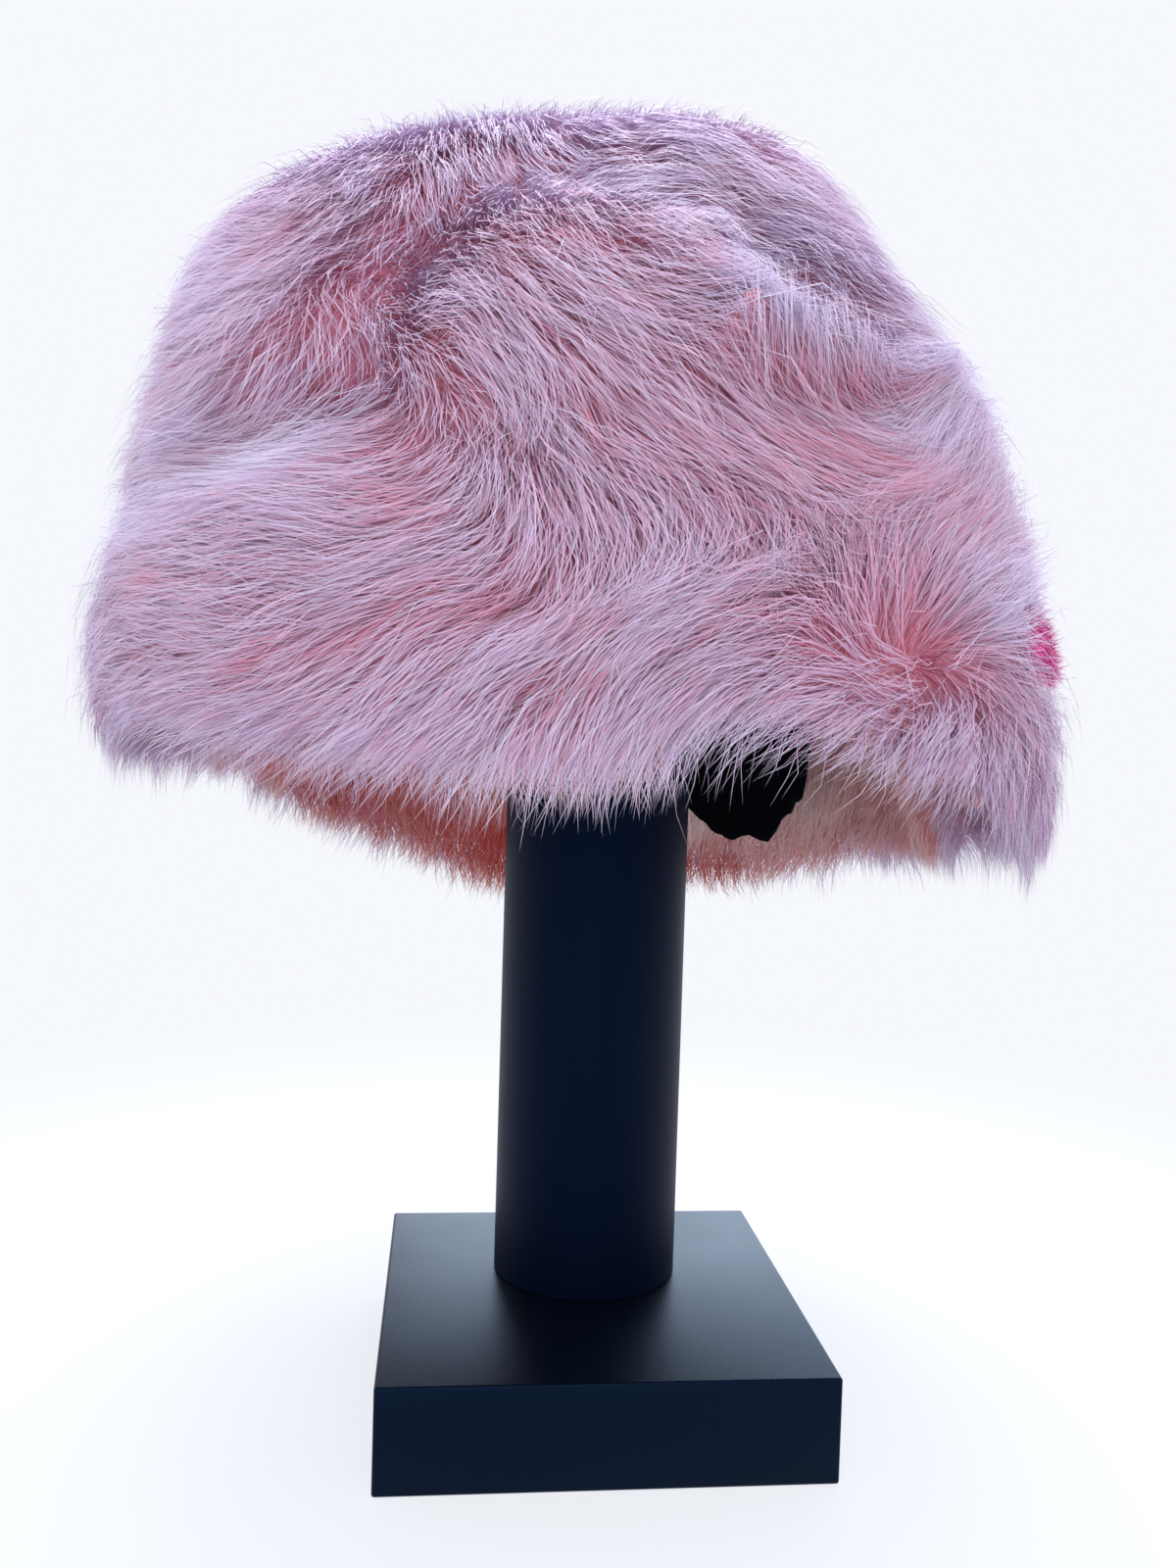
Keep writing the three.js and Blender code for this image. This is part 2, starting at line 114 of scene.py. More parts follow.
# The way the fur is combed, read at places across and up in mm as seen from the front: 0 is
# straight down, 90 to the right, -90 to the left and 180 straight up.
FRONT_COMB = {
    "top_left": (-40, 326, 24),
    "top_middle": (0, 331, 62),
    "top_right": (55, 328, 62),
    "left_peak": (-59, 318, -28),
    "left_rim": (-93, 303, -115),
    "left_cheek": (-75, 283, -8),
    "left_fold": (-78, 265, -55),
    "left_edge": (-106, 256, -75),
    "left_middle": (-72, 238, -90),
    "left_low": (-92, 226, -115),
    "left_brim": (-104, 205, -70),
    "left_hem": (-65, 195, -65),
    "left_hem_end": (-66, 180, -58),
    "middle_hem_left": (-36, 202, -40),
    "hem_middle": (-18, 190, -10),
    "upper_left": (-29, 303, 40),
    "groove_right": (-46, 303, 48),
    "groove_right_low": (-50, 288, 62),
    "groove_left": (-68, 299, -14),
    "groove_band": (-50, 322, 6),
    "upper_middle": (-12, 286, 36),
    "upper_right": (8, 294, 49),
    "pocket": (52, 305, -38),
    "lip": (49, 278, 50),
    "right_top": (82, 304, 70),
    "parting_right": (-38, 257, 72),
    "parting_left": (-54, 252, -88),
    "below_parting": (-18, 256, -2),
    "crown_middle": (5, 255, 24),
    "crown_right": (40, 262, 36),
    "crown_right_low": (38, 241, 34),
    "crown_low": (2, 240, 31),
    "crown_seam_left": (-40, 233, -82),
    "crown_seam": (2, 231, 66),
    "brim_left": (-30, 221, -82),
    "brim_middle": (12, 221, -86),
    "brim_low": (-8, 207, -62),
    "brim_right": (27, 213, -90),
    "brim_hem": (10, 199, -76),
    "hem_tuft": (6, 183, 42),
    "hem_tuft_right": (25, 189, 70),
    "hem_right": (55, 191, -60),
    "hem_end": (94, 188, -14),
    "hem_corner": (104, 178, 8),
    "lifted_start": (20, 194, -62),
    "lifted": (36, 194, -65),
    "lifted_middle": (56, 193, -50),
    "lifted_corner": (74, 191, -38),
    "lifted_end": (84, 204, -30),
    "hem_post": (4, 190, -30),
    "hem_left_post": (-36, 187, -52),
    "right_edge": (106, 208, 62),
    "fan_left": (49, 225, -135),
    "fan_top": (62, 234, 178),
    "fan_right": (76, 228, 152),
    "fan_high": (78, 262, 150),
    "fan_edge": (97, 232, 145),
}
# The far side in the same columns, as seen through the hat from the front
BACK_COMB = {
    "top": (0, 345, 75),
    "upper_left": (-50, 300, -25),
    "upper_right": (45, 305, 30),
    "middle": (0, 250, 10),
    "left": (-80, 230, -40),
    "right": (80, 235, 35),
    "brim_left": (-60, 170, -30),
    "brim": (0, 160, -15),
    "brim_right": (60, 175, 25),
    "hem_left": (-30, 130, -20),
    "hem_right": (40, 135, 15),
}

# The level of the pile's lower edge round the brim, at angles in degrees from the right to the back
HEM_ROWS = {
    "right": (0, 0.5),
    "far_right": (36, 0.5),
    "far": (70, 0.62),
    "far_left": (120, 0.6),
    "left_back": (150, 0.4),
    "left": (180, 0.5),
    "left_corner": (205, 0.75),
    "left_front": (236, 0.56),
    "front": (270, 0.5),
    "post_side": (279, 0.6),
    "lifted": (287, 0.84),
    "lifted_end": (312, 0.88),
    "corner": (330, 0.74),
    "right_front": (344, 0.5),
    "right_again": (360, 0.5),
}
# The level that a piece's lower edge is given where it follows the hem, the undercoat's own lower
# edge, and the levels between which a piece stops following the hem
HEM_LEVEL = 0.7
COAT_HEM = 1.4
HEM_FADE = (1.4, 3.0)
# Stretches of the hem, as the angles where each begins, is full, fades and has ended: the lifted part
# of the near hem, with the facing bare above it, and the far side, where the facing hangs lowest
LIFTED = (272.0, 288.0, 324.0, 342.0)
FAR = (15.0, 50.0, 150.0, 185.0)

# Lines of the front where the fur parts down to its rosy roots, or stands pale along a ridge, and lines
# of
# painted shade and painted light: from one place to the other in mm across and up, width and how much
# paler
TONE_LINES = {
    "groove_top": (3, 328, -27, 319, 4.0, -0.14),
    "groove_bend": (-27, 319, -45, 304, 4.0, -0.30),
    "groove_down": (-45, 304, -52, 284, 3.0, -0.22),
    "groove_end": (-52, 284, -54, 275, 2.5, -0.34),
    "low_groove": (-62, 265, -85, 252, 3.5, -0.42),
    "low_groove_end": (-85, 252, -98, 251, 3.5, -0.30),
    "ridge": (-51, 278, -66, 267, 3.0, 0.30),
    "ridge_end": (-66, 267, -98, 257, 3.5, 0.28),
    "cheek": (-58, 318, -52, 290, 6.0, 0.16),
    "lip_side": (21, 303, 20, 277, 3.0, 0.30),
    # Painted shade beside the lip
    "lip_side_shade": (15, 298, 16, 277, 3.0, -0.30),
    "lip": (20, 275, 40, 271.5, 2.5, 0.34),
    "lip_end": (44, 271.5, 60, 275, 2.5, 0.34),
    # Painted shade under the lip's ledge, in two lines
    "lip_shade": (19, 268, 44, 266, 3.0, -0.60),
    "lip_shade_end": (44, 266, 60, 268, 3.5, -0.42),
    # Painted light that lifts the shaded pocket
    "pocket_light": (36, 306, 56, 290, 12.0, 0.14),
    # Rosier tone and painted shade below the lip on the right
    "right_rose_shade": (36, 258, 62, 238, 13.0, -0.34),
    "parting": (-44, 258, -38, 246, 4.0, -0.30),
    "spot_a": (-43, 232, -34, 226, 3.0, -0.45),
    "spot_b": (-27, 208, -17, 213, 2.5, -0.45),
    "spot_c": (-52, 203, -43, 207, 2.5, -0.40),
    "spot_d": (-98, 217, -88, 219, 3.0, -0.40),
    "spot_e": (-73, 198, -63, 202, 2.5, -0.38),
    "spot_f": (-8, 207, 1, 209, 2.5, -0.36),
    "spot_g": (17, 212, 27, 212, 2.5, -0.36),
    "spot_h": (-38, 213, -29, 216, 2.5, -0.30),
    "fan_light": (60, 230, 80, 218, 9.0, 0.36),
    # Painted shade over the lower right of the crown
    "right_shade": (20, 240, 60, 226, 20.0, -0.26),
}
# The same for the facing of the brim: a painted glow beside the post, painted light on its right and
# painted shade on its left
FACING_LINES = {
    # Painted glow of light shining through the fur beside the post
    "post_glow": (-30, 148, 24, 138, 15.0, -0.48),
    "post_glow_right": (24, 138, 52, 140, 15.0, -0.46),
    # Painted light
    "right_light": (45, 170, 80, 176, 16.0, 0.42),
    # Painted shade under the near hem
    "left_shade": (-95, 175, -50, 160, 22.0, -0.34),
}


def unit(vectors: Points) -> Points:
    """Vectors scaled to length one."""
    return vectors / np.maximum(np.linalg.norm(vectors, axis=-1, keepdims=True), 1e-9)


def lines_sum(place: Points, rows: dict[str, tuple]) -> Points:
    """Sum of soft lines at some places.

    Args:
        place: Places in mm, of which x and z count.
        rows: Lines as x0, z0, x1, z1, width and strength.

    Returns:
        The sum of their strengths.
    """
    total = np.zeros(place.shape[:-1])
    for x0, z0, x1, z1, width, strength in rows.values():
        run_x, run_z = x1 - x0, z1 - z0
        from_x, from_z = place[..., 0] - x0, place[..., 2] - z0
        t = np.clip((from_x * run_x + from_z * run_z) / (run_x**2 + run_z**2), 0.0, 1.0)
        away = np.hypot(from_x - t * run_x, from_z - t * run_z) / width
        total += strength * np.exp(-away * away)
    return total


def smoothstep(values: Points, low: float, high: float) -> Points:
    """Smooth ramp from 0 at low to 1 at high."""
    t = np.clip((values - low) / (high - low), 0.0, 1.0)
    return t * t * (3.0 - 2.0 * t)


class Side(Enum):
    """Which face of the backing cloth a pile stands on."""

    OUTER = 1
    INNER = -1


@dataclass
class Site:
    """Places on the backing cloth with their directions and scale.

    Attributes:
        point: Places in mm.
        out: Unit direction out of the cloth.
        along_u: Unit direction of growing angle.
        along_v: Unit direction of growing level.
        per_angle: How many mm one radian covers.
        per_level: How many mm one level covers.
        pile: Depth of the pile in mm.
    """

    point: Points
    out: Points
    along_u: Points
    along_v: Points
    per_angle: Points
    per_level: Points
    pile: Points


@dataclass
class HatForm:
    """The backing cloth as a smooth surface over the angle about the post and the level.

    Attributes:
        turn: How far the hat is turned on its post, in degrees.
        back: How far the post's axis stands behind the base's centre.
        step: Half the step in angle and level that directions are measured over.
        fold_fade: How far from the side profile the folds reach their full depth.
        table: The section table, with a row past each end.
    """

    turn: float = -6.0
    back: float = 15.2
    step: float = 0.02
    fold_fade: float = 45.0
    table: Points = field(init=False)

    def __post_init__(self) -> None:
        """Adds a row past each end, so that the surface is smooth at the tips and over the apex."""
        rows = np.array(list(SECTION_ROWS.values()), float)
        turned_back = rows[-2].copy()
        turned_back[4:8] *= -1.0
        self.table = np.vstack([2.0 * rows[0] - rows[1], rows, turned_back])

    def sections(self, level: Points) -> dict[str, Points]:
        """Every column of the section table at some levels.

        Args:
            level: Places between the sections.

        Returns:
            The columns by name.
        """
        row = np.clip(np.floor(level).astype(int), 0, int(TOP) - 1)
        t = (level - row)[..., None]
        a, b, c, d = (self.table[row + k] for k in range(4))
        value = b + 0.5 * t * (c - a + t * (2 * a - 5 * b + 4 * c - d + t * (3 * (b - c) + d - a)))
        return {name: value[..., i] for i, name in enumerate(SECTION_COLUMNS)}

    def cloth(self, angle: Points, level: Points) -> Points:
        """Points of the backing cloth.

        Args:
            angle: Angles about the post, 0 to the right and a quarter turn to the back.
            level: Places between the sections.

        Returns:
            Points in mm.
        """
        s = self.sections(level)
        across, away = np.cos(angle), np.sin(angle)
        is_right, is_back = across > 0, away > 0
        x = s["x"] + across * np.where(is_right, s["right"], s["left"])
        y = s["y"] + away * np.where(is_back, s["back"], s["front"])
        z = across**2 * np.where(is_right, s["z_right"], s["z_left"])
        z = z + away**2 * np.where(is_back, s["z_back"], s["z_front"])
        return np.stack([x, y, z], axis=-1)

    def site(self, angle: Points, level: Points) -> Site:
        """Places on the cloth with their directions.

        Args:
            angle: Angles about the post.
            level: Places between the sections.

        Returns:
            The places.
        """
        v = np.minimum(level, TOP - self.step)
        du = (self.cloth(angle + self.step, v) - self.cloth(angle - self.step, v)) / (2 * self.step)
        dv = (self.cloth(angle, v + self.step) - self.cloth(angle, v - self.step)) / (2 * self.step)
        per_angle = np.linalg.norm(du, axis=-1)
        per_level = np.linalg.norm(dv, axis=-1)
        return Site(
            self.cloth(angle, level), unit(np.cross(du, dv)), unit(du), unit(dv),
            per_angle, per_level, self.sections(level)["pile"],
        )

    def fold_depth(self, point: Points) -> Points:
        """How far the folds press the cloth in.

        Args:
            point: Points of the cloth.

        Returns:
            Depths in mm, below zero on a ridge.
        """
        is_front = point[..., 1] < 0
        front = lines_sum(point, FRONT_FOLDS) + lines_sum(point, FINE_FOLDS)
        depth = np.where(is_front, front, lines_sum(point, BACK_FOLDS))
        return depth * smoothstep(np.abs(point[..., 1]), 0.0, self.fold_fade)

    def hem(self, angle: Points) -> Points:
        """The pile's lower edge.

        Args:
            angle: Angles about the post.

        Returns:
            Its levels.
        """
        rows = np.array(list(HEM_ROWS.values()), float)
        turn = np.degrees(angle) % 360.0
        after = np.clip(np.searchsorted(rows[:, 0], turn, side="right"), 1, len(rows) - 1)
        low, high = rows[after - 1], rows[after]
        share = np.clip((turn - low[..., 0]) / (high[..., 0] - low[..., 0]), 0.0, 1.0)
        share = share * share * (3.0 - 2.0 * share)
        return low[..., 1] + (high[..., 1] - low[..., 1]) * share

    def hung(self, angle: Points, level: Points) -> Points:
        """Levels moved so that the pile's lower edge follows the hem.

        Args:
            angle: Angles about the post.
            level: Levels, where HEM_LEVEL is the lower edge.

        Returns:
            The moved levels.
        """
        return level + (self.hem(angle) - HEM_LEVEL) * (1.0 - smoothstep(level, *HEM_FADE))

    def within(self, angle: Points, stretch: tuple[float, float, float, float]) -> Points:
        """How far places are in a stretch of the hem.

        Args:
            angle: Angles about the post.
            stretch: Angles in degrees where it begins, is full, fades and has ended.

        Returns:
            Shares from 0 to 1.
        """
        begins, full, fades, ends = stretch
        turn = np.degrees(angle) % 360.0
        return smoothstep(turn, begins, full) * (1.0 - smoothstep(turn, fades, ends))

    def near_hem(self, angle: Points, level: Points) -> Points:
        """How near places are to the lower edge, 0 to 1."""
        return 1.0 - smoothstep(level - self.hem(angle), 0.1, 0.9)

    def at_height(self, angle: Points, level: Points, height: Points) -> Points:
        """Points at a height off the cloth, with the folds pressed in."""
        site = self.site(angle, level)
        return site.point + site.out * (height - self.fold_depth(site.point))[..., None]

    def to_part(self, points: Points) -> Points:
        """Points of the hat's frame in mm as points of the part in metres."""
        return (self.to_part_way(points) + (0.0, self.back, 0.0)) * MM

    def to_part_way(self, ways: Points) -> Points:
        """Directions of the hat's frame as directions of the part.

        Args:
            ways: Directions, or places about the post's axis.

        Returns:
            The same, turned as the hat is on its post.
        """
        turn = math.radians(self.turn)
        x = ways[..., 0] * math.cos(turn) - ways[..., 1] * math.sin(turn)
        y = ways[..., 0] * math.sin(turn) + ways[..., 1] * math.cos(turn)
        return np.stack([x, y, ways[..., 2]], axis=-1)


@dataclass
class Comb:
    """The way the fur lies, worked out from the comb tables.

    Attributes:
        front_reach: How far one reading of the front counts, in mm.
        back_reach: How far one reading of the far side counts.
        down: How much plain hanging down counts against the readings.
        blend: How far from the side profile the two sides are mixed.
        face: Where the readings were taken, as a share of the pile.
        profile: How early the readings stop counting as seen from the front towards the side profile.
        crest: How much the fur on the crest leans towards the front.
        hem_fall: How firmly the fur hangs down at the lower edge.
    """

    front_reach: float = 12.5
    back_reach: float = 38.0
    down: float = 0.03
    blend: float = 26.0
    face: float = 0.9
    profile: float = 0.15
    crest: float = 0.6
    hem_fall: float = 1.35

    def _pull(self, point: Points, table: dict[str, tuple], reach: float) -> Points:
        """Sum of a table's readings about each point.

        Args:
            point: Points in mm, of which x and z count.
            table: The readings as x, z and heading.
            reach: How far one reading counts, in mm.

        Returns:
            The way they pull, across and up.
        """
        total = np.zeros(point.shape[:-1] + (3,))
        total[..., 2] = -self.down
        for x, z, heading in table.values():
            away = ((point[..., 0] - x) ** 2 + (point[..., 2] - z) ** 2) / (2.0 * reach**2)
            weight = np.exp(-away)
            turn = math.radians(heading)
            total[..., 0] += weight * math.sin(turn)
            total[..., 2] -= weight * math.cos(turn)
        return total

    def direction(self, site: Site, side: Side, near_hem: Points) -> Points:
        """The way hairs lie at some places.

        Args:
            site: Places on the cloth.
            side: Which face of the cloth the hairs stand on.
            near_hem: How near the places are to the lower edge, where no hair runs up.

        Returns:
            Unit directions along the cloth.
        """
        if side is Side.INNER:
            pull = np.zeros_like(site.point)
            pull[..., 2] = -1.0
        else:
            place = site.point + site.out * (self.face * site.pile)[..., None]
            front = unit(self._pull(place, FRONT_COMB, self.front_reach))
            back = unit(self._pull(place, BACK_COMB, self.back_reach))
            share = smoothstep(site.point[..., 1], -self.blend, self.blend)[..., None]
            pull = front * (1.0 - share) + back * share
            pull[..., 2] = np.minimum(pull[..., 2], 1.0 - self.hem_fall * near_hem)
            pull[..., 1] -= self.crest * smoothstep(site.out[..., 2], 0.6, 0.95)
            away = site.out[..., 1]
            pull[..., 1] -= np.sum(pull * site.out, axis=-1) * away / (away**2 + self.profile)
        flat = pull - site.out * np.sum(pull * site.out, axis=-1, keepdims=True)
        return unit(flat)


@dataclass
class Hairs:
    """Curves of many hairs.

    Attributes:
        points: Points along each hair, in mm, with the steps first.
        ground: Points of the cloth under them.
        out: Direction out of the cloth at each point.
        root_angle: Angle of each root.
        root_level: Level of each root.
    """

    points: Points
    ground: Points
    out: Points
    root_angle: Points
    root_level: Points

    def drawn(self, other: "Hairs", which: Points, share: Points) -> "Hairs":
        """These hairs drawn towards others.

        Args:
            other: Hairs to draw them to.
            which: Which of those each one goes to.
            share: How far, with the steps first.

        Returns:
            The drawn hairs.
        """
        points = self.points * (1 - share) + other.points[:, which] * share
        ground = self.ground * (1 - share) + other.ground[:, which] * share
        return Hairs(points, ground, self.out, self.root_angle, self.root_level)


@dataclass
class Groom:
    """Lays hairs over the cloth and draws them together into locks and tufts.

    Attributes:
        form: The cloth.
        comb: The way the fur lies.
        lock_spacing: Mean distance of the big locks in mm.
        tuft_spacing: Mean distance of the small tufts.
        lock_pull: How far the tips of a lock draw together.
        tuft_pull: How far the tips of a tuft draw together.
        twist: How far locks and tufts are turned off the comb, in radians.
        low: How high a hair leaves the undercoat, as a share of the pile.
        waver: How far the comb's way wanders from place to place, in radians.
        bridge: How far the tips bridge a fold, as a share of its depth.
    """

    form: HatForm
    comb: Comb
    lock_spacing: float = 11.0
    tuft_spacing: float = 3.6
    lock_pull: float = 0.26
    tuft_pull: float = 0.62
    twist: float = 0.2
    low: float = 0.45
    waver: float = 0.18
    bridge: float = 0.3

    def _wander(self, point: Points) -> Points:
        """How far the comb's way wanders from place to place.

        Args:
            point: Places in mm.

        Returns:
            Turns in radians.
        """
        x, y, z = (point[..., i] for i in range(3))
        wide = np.sin(x / 9.0 + 1.9 * np.sin(z / 13.0)) + np.sin(z / 8.0 + 1.7 * np.sin(y / 11.0))
        fine = np.sin(x / 3.7 + 2.3 * np.sin(z / 5.1)) + np.sin(z / 4.3 - y / 5.0)
        return self.waver * (0.6 * wide + 0.4 * fine)

    def _cells(self, low: float, high: float, columns: int, rows: int) -> tuple[Points, float, float]:
        """Measures a grid of cells over a band of the cloth.

        Args:
            low: Lowest level.
            high: Highest level.
            columns: Cells round it.
            rows: Cells up it.

        Returns:
            How many square mm a step of angle and level covers in each, and the two steps.
        """
        da, dl = 2 * math.pi / columns, (high - low) / rows
        angles, levels = (np.arange(columns) + 0.5) * da, low + (np.arange(rows) + 0.5) * dl
        site = self.form.site(*np.meshgrid(angles, levels, indexing="ij"))
        return site.per_angle * site.per_level, da, dl

    def roots(
        self, count: int, low: float, high: float, rng: np.random.Generator,
    ) -> tuple[Points, Points]:
        """Spreads roots evenly over a band of the cloth.

        Args:
            count: How many.
            low: Lowest level.
            high: Highest level.
            rng: Source of chance.

        Returns:
            Angles and levels.
        """
        columns, rows = 240, 48
        area, da, dl = self._cells(low, high, columns, rows)
        area = area.ravel()
        share = np.cumsum(area) / area.sum()
        cell = np.searchsorted(share, (np.arange(count) + rng.random(count)) / count)
        cell = np.minimum(cell, area.size - 1)
        i, j = np.unravel_index(cell, (columns, rows))
        angle = (i + rng.random(count)) * da
        return angle, self.form.hung(angle, low + (j + rng.random(count)) * dl)

    def band_area(self, low: float, high: float) -> float:
        """Area of a band of the cloth in square mm."""
        area, da, dl = self._cells(low, high, 120, 24)
        return float(area.sum() * da * dl)

    def trace(
        self, angle: Points, level: Points, reach: Points, twist: Points, curl: Points,
        stand: Points, side: Side, steps: int,
    ) -> Hairs:
        """Follows the comb from each root.

        Args:
            angle: Angles of the roots.
            level: Levels of the roots.
            reach: How far each hair runs along the cloth, in mm.
            twist: How far each is turned off the comb, in radians.
            curl: How much further its tip is turned.
            stand: How high its tip stands, as a share of the pile.
            side: Which face of the cloth it stands on.
            steps: How many steps it has.

        Returns:
            The hairs.
        """
        radius = TOP - level
        a, b = radius * np.cos(angle), radius * np.sin(angle)
        points, grounds, outs = [], [], []
        for k in range(steps + 1):
            t = k / steps
            radius = np.maximum(np.hypot(a, b), 1e-4)
            here = np.arctan2(b, a)
            site = self.form.site(here, TOP - radius)
            rise = self.low + (1.0 - self.low) * (1.0 - (1.0 - t) ** 2)
            sunk = self.form.fold_depth(site.point) * (1.0 - self.bridge * t)
            height = side.value * site.pile * rise * stand - sunk
            points.append(site.point + site.out * height[..., None])
            grounds.append(site.point)
            outs.append(site.out * side.value)
            way = self.comb.direction(site, side, self.form.near_hem(here, TOP - radius))
            turn = (twist + curl * t + self._wander(site.point))[..., None]
            way = way * np.cos(turn) + np.cross(site.out, way) * np.sin(turn)
            skew = np.sum(site.along_u * site.along_v, axis=-1)
            on_u = np.sum(way * site.along_u, axis=-1)
            on_v = np.sum(way * site.along_v, axis=-1)
            go_u = (on_u - skew * on_v) / (1.0 - skew**2)
            go_v = (on_v - skew * on_u) / (1.0 - skew**2)
            stride = reach / steps
            out_by = -go_v * stride / site.per_level
            round_by = go_u * stride * radius / np.maximum(site.per_angle, 1e-3)
            cos, sin = a / radius, b / radius
            a, b = a + out_by * cos - round_by * sin, b + out_by * sin + round_by * cos
        return Hairs(np.stack(points), np.stack(grounds), np.stack(outs), angle, level)

    def nearest(self, places: Points, guides: Points) -> tuple[Points, Points]:
        """Which guide is nearest to each place.

        Args:
            places: Places in mm.
            guides: Places of the guides.

        Returns:
            The index of the nearest, and how near the place is to the border with the next, 0 to 1.
        """
        tree = KDTree(len(guides))
        for i, guide in enumerate(guides):
            tree.insert(guide, i)
        tree.balance()
        found = [tree.find_n(place, 2) for place in places]
        index = np.array([pair[0][1] for pair in found])
        border = np.array([pair[0][2] / max(pair[1][2], 1e-6) for pair in found])
        return index, border


@dataclass(frozen=True)
class PileField:
    """One field of hairs.

    Attributes:
        name: Name of its piece.
        slot: Material slot of the record.
        count: How many hairs.
        seed: Start of the chance numbers.
        low: Lowest level of the roots.
        high: Highest level of the roots.
        side: Which face of the cloth they stand on.
        length: Reach along the cloth, as a share of the pile.
        stand: How high the tips stand, as a share of the pile.
        width: Width of a hair in mm.
        loose: How far hairs keep clear of their tuft, from 0 to 1.
        wild: How far hairs are turned off the comb, in radians.
        steps: Steps along a hair.
    """

    name: str
    slot: str
    count: int
    seed: int
    low: float = 0.0
    high: float = 0.0
    side: Side = Side.OUTER
    length: float = 0.98
    stand: float = 1.0
    width: float = 0.28
    loose: float = 0.5
    wild: float = 0.2
    steps: int = 3


@dataclass(frozen=True)
class Tones:
    """How pale the hairs are, from 0, rosy, to 1, pale.

    Attributes:
        even: Tone of even fur.
        tuft: How much it differs from tuft to tuft.
        hair: How much it differs from hair to hair.
        border: How much rosier the hairs are between locks.
        gap: How much rosier the low tufts are.
        lines: How much the lines of the front count.
        fold: Painted light: how much paler each mm of a fold's depth makes them, against the shade in
            the fold.
        ridge: How much paler each mm of a ridge's height makes them.
        above: Painted light from above: how much paler they are where the fur faces up.
        least: Least tone.
        most: Greatest tone.
    """

    even: float = 0.58
    tuft: float = 0.04
    hair: float = 0.05
    border: float = 0.05
    gap: float = 0.22
    lines: float = 0.55
    fold: float = 0.014
    ridge: float = 0.020
    above: float = 0.18
    least: float = 0.01
    most: float = 0.97


